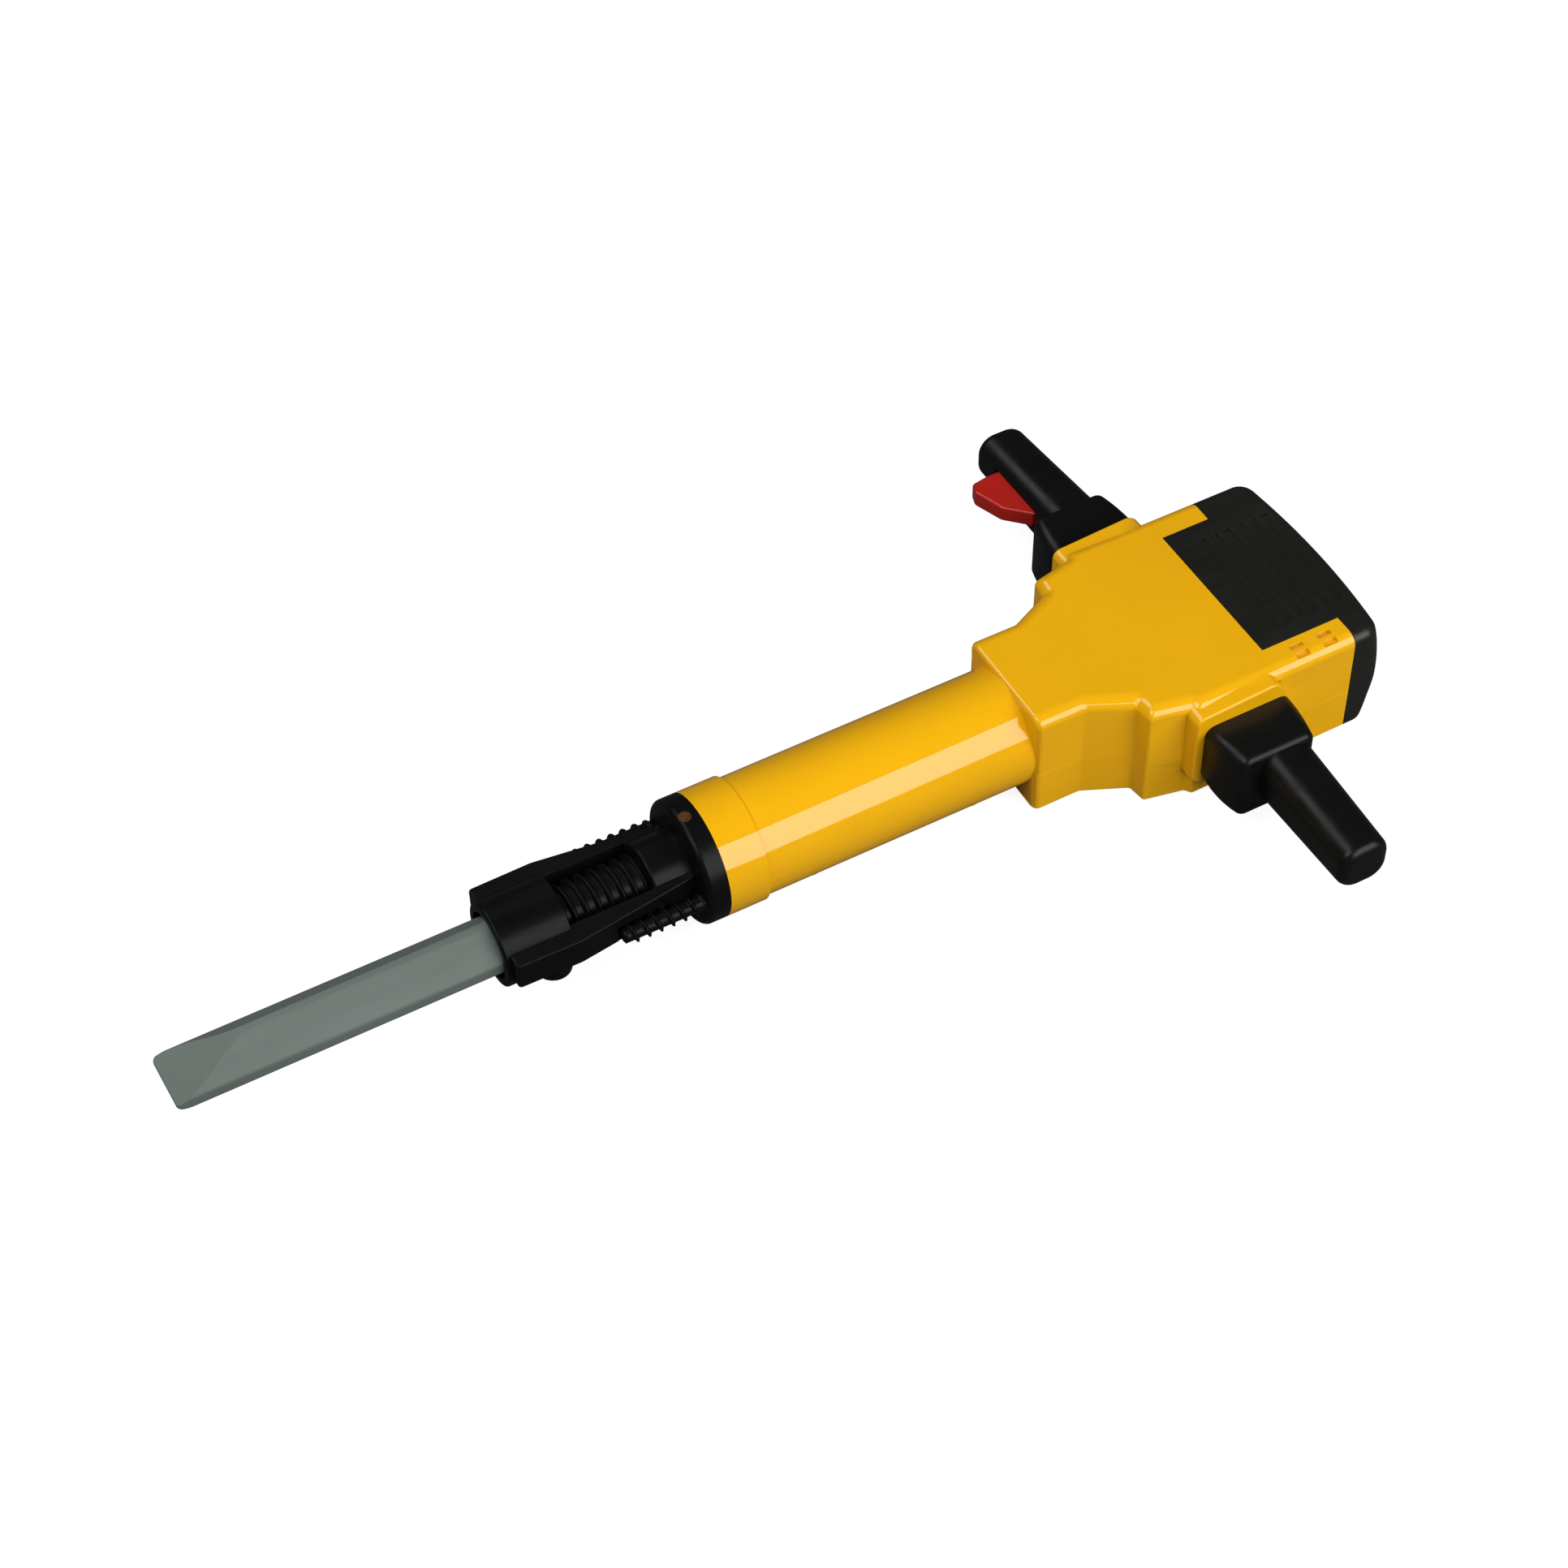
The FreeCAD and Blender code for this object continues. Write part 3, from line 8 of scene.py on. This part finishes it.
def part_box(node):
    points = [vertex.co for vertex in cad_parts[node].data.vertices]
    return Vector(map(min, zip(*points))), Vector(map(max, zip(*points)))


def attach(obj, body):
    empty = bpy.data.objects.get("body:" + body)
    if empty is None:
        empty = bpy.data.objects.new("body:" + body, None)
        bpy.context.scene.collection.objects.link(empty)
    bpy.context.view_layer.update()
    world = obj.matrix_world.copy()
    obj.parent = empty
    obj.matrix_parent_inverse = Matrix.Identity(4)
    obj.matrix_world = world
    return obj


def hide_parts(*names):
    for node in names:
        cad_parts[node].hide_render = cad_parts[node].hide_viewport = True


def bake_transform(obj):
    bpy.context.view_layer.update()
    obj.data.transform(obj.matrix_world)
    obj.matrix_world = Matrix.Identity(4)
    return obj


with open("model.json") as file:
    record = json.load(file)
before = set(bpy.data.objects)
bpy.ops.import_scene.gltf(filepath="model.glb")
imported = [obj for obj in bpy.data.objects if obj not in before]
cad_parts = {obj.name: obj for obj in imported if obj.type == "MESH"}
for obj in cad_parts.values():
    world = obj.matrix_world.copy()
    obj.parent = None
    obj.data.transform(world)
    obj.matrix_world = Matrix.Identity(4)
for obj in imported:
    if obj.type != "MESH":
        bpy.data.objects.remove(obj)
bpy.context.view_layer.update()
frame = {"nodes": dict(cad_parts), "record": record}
nodes = frame["nodes"]

# The tool frame: X along the tool, Y across to the trigger, Z = 0 on the barrel's axis, in millimetres.
AXIS_HEIGHT_MM = 27.0
REST_X_MM = 30.0

BODIES = frame["record"]["behaviour"]["bodies"]
BODY_OF = {member: body for body, members in BODIES.items() for member in members}
SLOT_OF = {entry["node"]: entry["material_slot"] for entry in frame["record"]["subparts"]}
# The nose is moulded in a deeper black than the grips, and the cap in a greyer one.
OWN_BLACKS = dict.fromkeys(("nose_collar", "nose_frame", "side_springs", "nose_bellows"), "nose_plastic")
OWN_BLACKS["rear_cap"] = "cap_plastic"


def tool(x, y, z):
    """A point of the tool frame in metres of the row's frame."""
    return Vector(((x - REST_X_MM) / 1000, y / 1000, (z + AXIS_HEIGHT_MM) / 1000))


def add(name, data):
    """A new object in the scene that shows a piece of data."""
    piece = bpy.data.objects.new(name, data)
    bpy.context.scene.collection.objects.link(piece)
    return piece


# ---------------------------------------------------------------- materials
GRAIN_DEPTH = 0.00005
EDGE_ROUND = 0.00015
CHISEL_EDGE_ROUND = 0.0006


def new_material(name):
    material = bpy.data.materials.new(name)
    material.use_nodes = True
    tree = material.node_tree
    shader = tree.nodes["Principled BSDF"]
    return material, tree, shader


def texture(tree, kind, scale, **settings):
    """A procedural texture in object coordinates, in features per metre."""
    coords = tree.nodes.new("ShaderNodeTexCoord")
    mapping = tree.nodes.new("ShaderNodeMapping")
    mapping.inputs["Scale"].default_value = settings.pop("stretch", (1, 1, 1))
    node = tree.nodes.new(kind)
    tree.links.new(coords.outputs["Object"], mapping.inputs["Vector"])
    tree.links.new(mapping.outputs["Vector"], node.inputs["Vector"])
    node.inputs["Scale"].default_value = scale
    for key, setting in settings.items():
        node.inputs[key].default_value = setting
    return node


def ramp(tree, source, stops):
    """A colour that follows a value through (place, colour) stops."""
    node = tree.nodes.new("ShaderNodeValToRGB")
    elements = node.color_ramp.elements
    while len(elements) < len(stops):
        elements.new(0.5)
    for element, (place, colour) in zip(elements, stops):
        element.position = place
        element.color = (*colour, 1)
    tree.links.new(source, node.inputs["Fac"])
    return node.outputs["Color"]


def bump(tree, source, strength, distance, before=None):
    node = tree.nodes.new("ShaderNodeBump")
    node.inputs["Strength"].default_value = strength
    node.inputs["Distance"].default_value = distance
    tree.links.new(source, node.inputs["Height"])
    if before:
        tree.links.new(before, node.inputs["Normal"])
    return node.outputs["Normal"]


def grey(value):
    return (value, value, value)


def soft_edges(tree, radius):
    """A normal that catches light along edges as if they were slightly worn round."""
    node = tree.nodes.new("ShaderNodeBevel")
    node.samples = 4
    node.inputs["Radius"].default_value = radius
    return node.outputs["Normal"]


def moulded(name, low, high, rough, grain=0.0, shine=0.5):
    """Injection-moulded plastic: a slow colour drift, a fine grain, and faint rub marks in its gloss."""
    material, tree, shader = new_material(name)
    drift = texture(tree, "ShaderNodeTexNoise", 18.0, Detail=3.0, Roughness=0.5)
    colour = ramp(tree, drift.outputs["Fac"], [(0.3, low), (0.7, high)])
    tree.links.new(colour, shader.inputs["Base Color"])
    rub = texture(tree, "ShaderNodeTexNoise", 60.0, Detail=6.0, Roughness=0.7, stretch=(0.25, 1.6, 1))
    gloss = ramp(tree, rub.outputs["Fac"], [(0.42, grey(rough)), (0.78, grey(min(1.0, rough * 1.6)))])
    tree.links.new(gloss, shader.inputs["Roughness"])
    normal = soft_edges(tree, EDGE_ROUND)
    if grain:
        fine = texture(tree, "ShaderNodeTexNoise", 2600.0, Detail=2.0)
        normal = bump(tree, fine.outputs["Fac"], grain, GRAIN_DEPTH, normal)
    tree.links.new(normal, shader.inputs["Normal"])
    shader.inputs["Specular IOR Level"].default_value = shine
    return material


def metal(name, colour, rough):
    """Brushed metal: fine scratches along X vary its colour and its gloss."""
    material, tree, shader = new_material(name)
    brushed = texture(tree, "ShaderNodeTexNoise", 900.0, Detail=3.0, stretch=(0.1, 1, 1))
    darker = tuple(channel * 0.8 for channel in colour)
    shade = ramp(tree, brushed.outputs["Fac"], [(0.3, darker), (0.7, colour)])
    gloss = ramp(tree, brushed.outputs["Fac"], [(0.3, grey(rough)), (0.8, grey(rough + 0.15))])
    tree.links.new(shade, shader.inputs["Base Color"])
    tree.links.new(gloss, shader.inputs["Roughness"])
    shader.inputs["Metallic"].default_value = 1.0
    return material


def pearl(name):
    """Grey plastic with a metallic flake that drifts along the moulding."""
    material, tree, shader = new_material(name)
    flow = texture(tree, "ShaderNodeTexNoise", 14.0, Detail=4.0, Distortion=0.8, stretch=(0.5, 2.2, 1.6))
    shade = ramp(tree, flow.outputs["Fac"], [(0.3, (0.112, 0.135, 0.122)), (0.7, (0.134, 0.160, 0.146))])
    tree.links.new(shade, shader.inputs["Base Color"])
    flake = texture(tree, "ShaderNodeTexNoise", 3800.0, Detail=1.0)
    gloss = ramp(tree, flake.outputs["Fac"], [(0.3, grey(0.42)), (0.7, grey(0.54))])
    tree.links.new(gloss, shader.inputs["Roughness"])
    normal = bump(tree, flake.outputs["Fac"], 0.06, GRAIN_DEPTH, soft_edges(tree, CHISEL_EDGE_ROUND))
    tree.links.new(normal, shader.inputs["Normal"])
    shader.inputs["Specular IOR Level"].default_value = 0.22
    return material


def lens_material(name):
    """Clear-coated brown lens with a mottled tint."""
    material, tree, shader = new_material(name)
    swirl = texture(tree, "ShaderNodeTexNoise", 500.0, Detail=2.0)
    tint = ramp(tree, swirl.outputs["Fac"], [(0.3, (0.060, 0.022, 0.008)), (0.7, (0.110, 0.045, 0.018))])
    tree.links.new(tint, shader.inputs["Base Color"])
    shader.inputs["Roughness"].default_value = 0.12
    shader.inputs["Coat Weight"].default_value = 0.6
    return material


FINISHES = {
    "yellow_plastic": moulded("yellow_plastic", (0.800, 0.400, 0.004), (0.850, 0.435, 0.004), 0.06),
    "black_plastic": moulded("black_plastic", (0.0030, 0.0034, 0.0031), (0.0046, 0.0050, 0.0046), 0.30,
                             grain=0.04, shine=0.19),
    "nose_plastic": moulded("nose_plastic", (0.0026, 0.0031, 0.0029), (0.0042, 0.0047, 0.0044), 0.30,
                            grain=0.04, shine=0.10),
    "cap_plastic": moulded("cap_plastic", (0.0086, 0.0092, 0.0070), (0.0114, 0.0120, 0.0094), 0.36,
                           grain=0.05, shine=0.36),
    "grey_plastic": pearl("grey_plastic"),
    "red_plastic": moulded("red_plastic", (0.37, 0.012, 0.008), (0.45, 0.016, 0.010), 0.10),
    "amber_lens": lens_material("amber_lens"),
    "led_epoxy": moulded("led_epoxy", (0.7, 0.25, 0.06), (0.8, 0.3, 0.08), 0.15),
    "screw_steel": metal("screw_steel", (0.42, 0.42, 0.43), 0.35),
    "spring_steel": metal("spring_steel", (0.55, 0.55, 0.55), 0.25),
    "shaft_steel": metal("shaft_steel", (0.5, 0.5, 0.52), 0.2),
    "motor_steel": metal("motor_steel", (0.5, 0.5, 0.5), 0.3),
    "weight_iron": metal("weight_iron", (0.2, 0.2, 0.21), 0.55),
    "gear_nylon": moulded("gear_nylon", (0.68, 0.66, 0.60), (0.76, 0.74, 0.68), 0.4),
    "frame_plastic": moulded("frame_plastic", (0.22, 0.22, 0.23), (0.28, 0.28, 0.29), 0.45),
    "cell_wrap": moulded("cell_wrap", (0.03, 0.03, 0.04), (0.05, 0.05, 0.06), 0.25),
    "board_green": moulded("board_green", (0.01, 0.12, 0.04), (0.02, 0.17, 0.05), 0.35),
    "parts_dark": moulded("parts_dark", (0.02, 0.02, 0.02), (0.03, 0.03, 0.03), 0.4),
    "speaker_steel": metal("speaker_steel", (0.4, 0.4, 0.41), 0.35),
    "magnet_ferrite": metal("magnet_ferrite", (0.08, 0.08, 0.085), 0.6),
    "cone_paper": moulded("cone_paper", (0.02, 0.02, 0.02), (0.035, 0.034, 0.032), 0.8),
}


def paint(thing, slot_name):
    thing.data.materials.clear()
    thing.data.materials.append(FINISHES[slot_name])
    for face in thing.data.polygons:
        face.material_index = 0


def finish_of(node):
    """The material of a CAD node: that of its slot, unless it has a black of its own."""
    return OWN_BLACKS.get(node, SLOT_OF[node])


# ---------------------------------------------------------------- drafted shells
# Half-widths of the housing along the tool (x, half width) and how far its sides lean, in millimetres.
HOUSING_PLAN = ((-1.0, 26.4), (22.0, 26.4), (41.0, 35.3), (42.3, 43.8),
                (60.0, 47.7), (62.0, 50.6), (170.0, 50.6))
SIDE_LEAN = ((-1.0, 3.0), (60.0, 2.6), (80.0, 1.4), (170.0, 1.2))
SEAM_Z_MM = -5.2
TOP_Z_MM = 26.7
BOTTOM_Z_MM = -27.0
BARREL_RAD_MM = 25.7
BOSS_FRONT_X_MM = 57.9
SKIN_MM = 7.0
SEAM_GROOVE_MM = 0.16
SEAM_GROOVE_HALF_MM = 0.35
SHARP_DEGREES = 32


def between(table, place):
    """Straight-line interpolation in a table of (place, value) pairs."""
    for (low, first), (high, last) in zip(table, table[1:]):
        if place <= high:
            share = min(1.0, max(0.0, (place - low) / (high - low)))
            return first + (last - first) * share
    return table[-1][1]


def lean_out(point):
    """Draft: the sides are widest at the seam, with a fine groove along it, and lean in above and below."""
    x, y, z = point.x * 1000 + REST_X_MM, point.y * 1000, point.z * 1000 - AXIS_HEIGHT_MM
    half = between(HOUSING_PLAN, x)
    on_barrel = x < 2.6 and math.hypot(y, z) < BARREL_RAD_MM
    on_grip_boss = x > BOSS_FRONT_X_MM and abs(y) > half + 1.0
    if x < -0.1 or on_barrel or on_grip_boss:
        return point
    if z > SEAM_Z_MM:
        reach = (TOP_Z_MM - z) / (TOP_Z_MM - SEAM_Z_MM)
    else:
        reach = (z - BOTTOM_Z_MM) / (SEAM_Z_MM - BOTTOM_Z_MM)
    skin = max(0.0, min(1.0, (abs(y) - half + SKIN_MM) / SKIN_MM))
    groove = SEAM_GROOVE_MM * max(0.0, 1 - abs(z - SEAM_Z_MM) / SEAM_GROOVE_HALF_MM)
    shift = between(SIDE_LEAN, x) * (max(0.0, reach) - 0.5) - groove
    moved = y + math.copysign(shift * skin, y)
    return Vector((point.x, moved / 1000, point.z))


def refined(node, shape_by=None, cuts=()):
    """A welded copy of a CAD node whose flat faces shade flat and whose rounded edges shade smoothly."""
    data = nodes[node].data.copy()
    data.name = "fine_" + node
    mesh = bmesh.new()
    mesh.from_mesh(data)
    bmesh.ops.remove_doubles(mesh, verts=mesh.verts, dist=2e-6)
    for height in cuts:
        everything = mesh.verts[:] + mesh.edges[:] + mesh.faces[:]
        bmesh.ops.bisect_plane(mesh, geom=everything, plane_co=(0, 0, height), plane_no=(0, 0, 1), dist=1e-6)
    if shape_by:
        for vertex in mesh.verts:
            vertex.co = shape_by(vertex.co)
    mesh.to_mesh(data)
    mesh.free()
    if data.attributes.get("custom_normal"):
        data.attributes.remove(data.attributes["custom_normal"])
    data.shade_smooth()
    data.set_sharp_from_angle(angle=math.radians(SHARP_DEGREES))
    piece = add("fine_" + node, data)
    weighted = piece.modifiers.new("flat_faces", "WEIGHTED_NORMAL")
    weighted.keep_sharp = True
    weighted.weight = 100
    paint(piece, finish_of(node))
    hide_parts(node)
    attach(piece, BODY_OF[node])
    return piece


# ---------------------------------------------------------------- springs
ROW_STEP = 0.00025
BAR_SIDES = 48
SPRING_PITCH = 0.0053
SIDE_CORE = 0.0031
SIDE_RIDGE = 0.0009
BELLOWS_CORE = 0.0105
BELLOWS_RIDGE = 0.0012
DOME_SHARE = 0.7


def ridged_bar(mesh, low_x, high_x, centre, core, crest, pitch, ridge, ends_round):
    """Add a round bar along X with one rounded helical ridge, which fades out at its ends."""
    rows, turns = int((high_x - low_x) / ROW_STEP), BAR_SIDES
    dome_length = core * DOME_SHARE
    rings = []
    for row in range(rows + 1):
        x = low_x + (high_x - low_x) * row / rows
        from_end = min(x - low_x, high_x - x)
        fade = min(1.0, from_end / (0.5 * pitch))
        dome = 1.0
        if ends_round and x - low_x < dome_length:
            dome = math.sqrt(max(0.02, 1 - (1 - (x - low_x) / dome_length) ** 2))
        ring = []
        for turn in range(turns):
            angle = 2 * math.pi * turn / turns
            place = ((x - low_x) / pitch - turn / turns) % 1.0 - 0.5
            height = max(0.0, 1 - (place * pitch / ridge) ** 2) ** 0.7
            radius = (core + (crest - core) * height * fade) * dome
            across = centre[0] + radius * math.cos(angle)
            up = centre[1] + radius * math.sin(angle)
            ring.append(mesh.verts.new((x, across, up)))
        rings.append(ring)
    for near, far in zip(rings, rings[1:]):
        for turn in range(turns):
            after = (turn + 1) % turns
            mesh.faces.new((near[turn], near[after], far[after], far[turn]))
    mesh.faces.new(rings[0][::-1])
    mesh.faces.new(rings[-1])


def moulded_springs(node, name, centres, core, crest, ridge, ends_round):
    """The imitation springs in place of a CAD node: helical ridges on round bars."""
    low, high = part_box(node)
    mesh = bmesh.new()
    for centre in centres:
        ridged_bar(mesh, low.x, high.x, centre, core, crest, SPRING_PITCH, ridge, ends_round)
    bmesh.ops.recalc_face_normals(mesh, faces=mesh.faces)
    data = bpy.data.meshes.new(name)
    mesh.to_mesh(data)
    mesh.free()
    data.shade_smooth()
    data.set_sharp_from_angle(angle=math.radians(60))
    piece = add(name, data)
    paint(piece, finish_of(node))
    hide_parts(node)
    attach(piece, BODY_OF[node])
    return piece


def coil_spring(node):
    """A painted copy of a coil spring's CAD node, in place of the node, with its placement baked into its
    mesh.
    """
    piece = add("coil_" + node, nodes[node].data.copy())
    paint(piece, finish_of(node))
    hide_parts(node)
    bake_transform(piece)
    return piece


# ---------------------------------------------------------------- the pieces
for node in SLOT_OF:
    paint(nodes[node], finish_of(node))

seam_cuts = [(SEAM_Z_MM + offset + AXIS_HEIGHT_MM) / 1000
             for offset in (-SEAM_GROOVE_HALF_MM, 0, SEAM_GROOVE_HALF_MM)]
for node in ("housing_upper_shell", "housing_lower_shell", "rear_cap"):
    refined(node, lean_out, seam_cuts)
side_low, side_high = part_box("side_springs")
side_radius = (side_high.z - side_low.z) / 2
side_centres = [(side * (side_high.y - side_radius), side_high.z - side_radius) for side in (-1, 1)]
moulded_springs("side_springs", "side_spring_ridges", side_centres, SIDE_CORE, side_radius, SIDE_RIDGE, True)
bellows_low, bellows_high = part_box("nose_bellows")
bellows_radius = (bellows_high.z - bellows_low.z) / 2
bellows_centres = [(0.0, bellows_high.z - bellows_radius)]
moulded_springs("nose_bellows", "bellows_ridges", bellows_centres, BELLOWS_CORE, bellows_radius,
                BELLOWS_RIDGE, False)
coil_spring("return_spring")
coil_spring("trigger_spring")
for node in ("barrel_end_ring", "nose_collar", "nose_frame", "chisel",
             "trigger_grip_upper", "trigger_grip_lower", "plain_grip_upper", "plain_grip_lower", "trigger"):
    refined(node)


# ---------------------------------------------------------------- stage, lights and camera
FLOOR_GLOW = 0.86
WORLD_FILL = 0.045


def floor_material():
    """Pale paper that glows only for the camera, so that the object does not mirror it."""
    material, tree, shader = new_material("studio_floor")
    speck = texture(tree, "ShaderNodeTexNoise", 4.0, Detail=2.0)
    paper = ramp(tree, speck.outputs["Fac"], [(0.3, (0.29, 0.29, 0.29)), (0.7, (0.31, 0.31, 0.31))])
    shader.inputs["Roughness"].default_value = 0.7
    shader.inputs["Specular IOR Level"].default_value = 0.0
    shader.inputs["Emission Color"].default_value = (1, 1, 1, 1)
    rays = tree.nodes.new("ShaderNodeLightPath")
    seen = tree.nodes.new("ShaderNodeMath")
    seen.operation = "MULTIPLY"
    seen.inputs[1].default_value = FLOOR_GLOW
    tree.links.new(rays.outputs["Is Camera Ray"], seen.inputs[0])
    tree.links.new(seen.outputs["Value"], shader.inputs["Emission Strength"])
    mirrored = tree.nodes.new("ShaderNodeMixRGB")
    mirrored.inputs["Color1"].default_value = (0.10, 0.10, 0.10, 1)
    tree.links.new(rays.outputs["Is Camera Ray"], mirrored.inputs["Fac"])
    tree.links.new(paper, mirrored.inputs["Color2"])
    tree.links.new(mirrored.outputs["Color"], shader.inputs["Base Color"])
    return material


def make_floor():
    shape = bmesh.new()
    bmesh.ops.create_grid(shape, x_segments=2, y_segments=2, size=6.0)
    data = bpy.data.meshes.new("studio_floor")
    shape.to_mesh(data)
    shape.free()
    floor = add("studio_floor", data)
    floor.location.z = -0.0004
    data.materials.append(floor_material())


def softbox(name, azimuth, elevation, distance, width, height, power, aim=(-0.1, 0, 0.03)):
    """A rectangular soft light on a sphere about the object, facing it."""
    around, above = math.radians(azimuth), math.radians(elevation)
    level = math.cos(above)
    away = Vector((math.sin(around) * level, -math.cos(around) * level, math.sin(above)))
    data = bpy.data.lights.new(name, "AREA")
    data.shape = "RECTANGLE"
    data.size, data.size_y, data.energy = width, height, power
    light = add(name, data)
    light.location = Vector(aim) + away * distance
    light.rotation_euler = away.to_track_quat("Z", "Y").to_euler()


def make_camera():
    """A long lens from the front left and above, looking at the middle of the tool."""
    azimuth, elevation, roll = math.radians(-28.04), math.radians(49.09), math.radians(-1.14)
    back = Vector((math.sin(azimuth) * math.cos(elevation), -math.cos(azimuth) * math.cos(elevation),
                   math.sin(elevation)))
    right = Vector((math.cos(azimuth), math.sin(azimuth), 0))
    up = back.cross(right)
    across = right * math.cos(roll) + up * math.sin(roll)
    upright = up * math.cos(roll) - right * math.sin(roll)
    data = bpy.data.cameras.new("photo_view")
    data.sensor_width = 36.0
    data.lens = 78.19
    camera = add("photo_view", data)
    place = tool(-93.7, 16.2, 0) + back * 1.3877
    camera.matrix_world = Matrix.Translation(place) @ Matrix((across, upright, back)).transposed().to_4x4()
    bpy.context.scene.camera = camera


def make_world():
    """A weak even light, behind a backdrop that the camera sees as pale as the floor."""
    world = bpy.data.worlds.new("studio")
    world.use_nodes = True
    bpy.context.scene.world = world
    tree = world.node_tree
    background = tree.nodes["Background"]
    background.inputs["Color"].default_value = (0.97, 0.98, 1.0, 1)
    rays = tree.nodes.new("ShaderNodeLightPath")
    strength = tree.nodes.new("ShaderNodeMath")
    strength.operation = "MULTIPLY_ADD"
    strength.inputs[1].default_value = FLOOR_GLOW - WORLD_FILL
    strength.inputs[2].default_value = WORLD_FILL
    tree.links.new(rays.outputs["Is Camera Ray"], strength.inputs[0])
    tree.links.new(strength.outputs["Value"], background.inputs["Strength"])


make_floor()
make_world()
softbox("key", 22, 29, 1.7, 1.7, 1.25, 31)
softbox("fill", -80, 52, 1.8, 1.2, 1.0, 16)
softbox("back", -150, 50, 1.8, 1.0, 1.0, 10)
make_camera()
bpy.context.scene.view_settings.view_transform = "Standard"
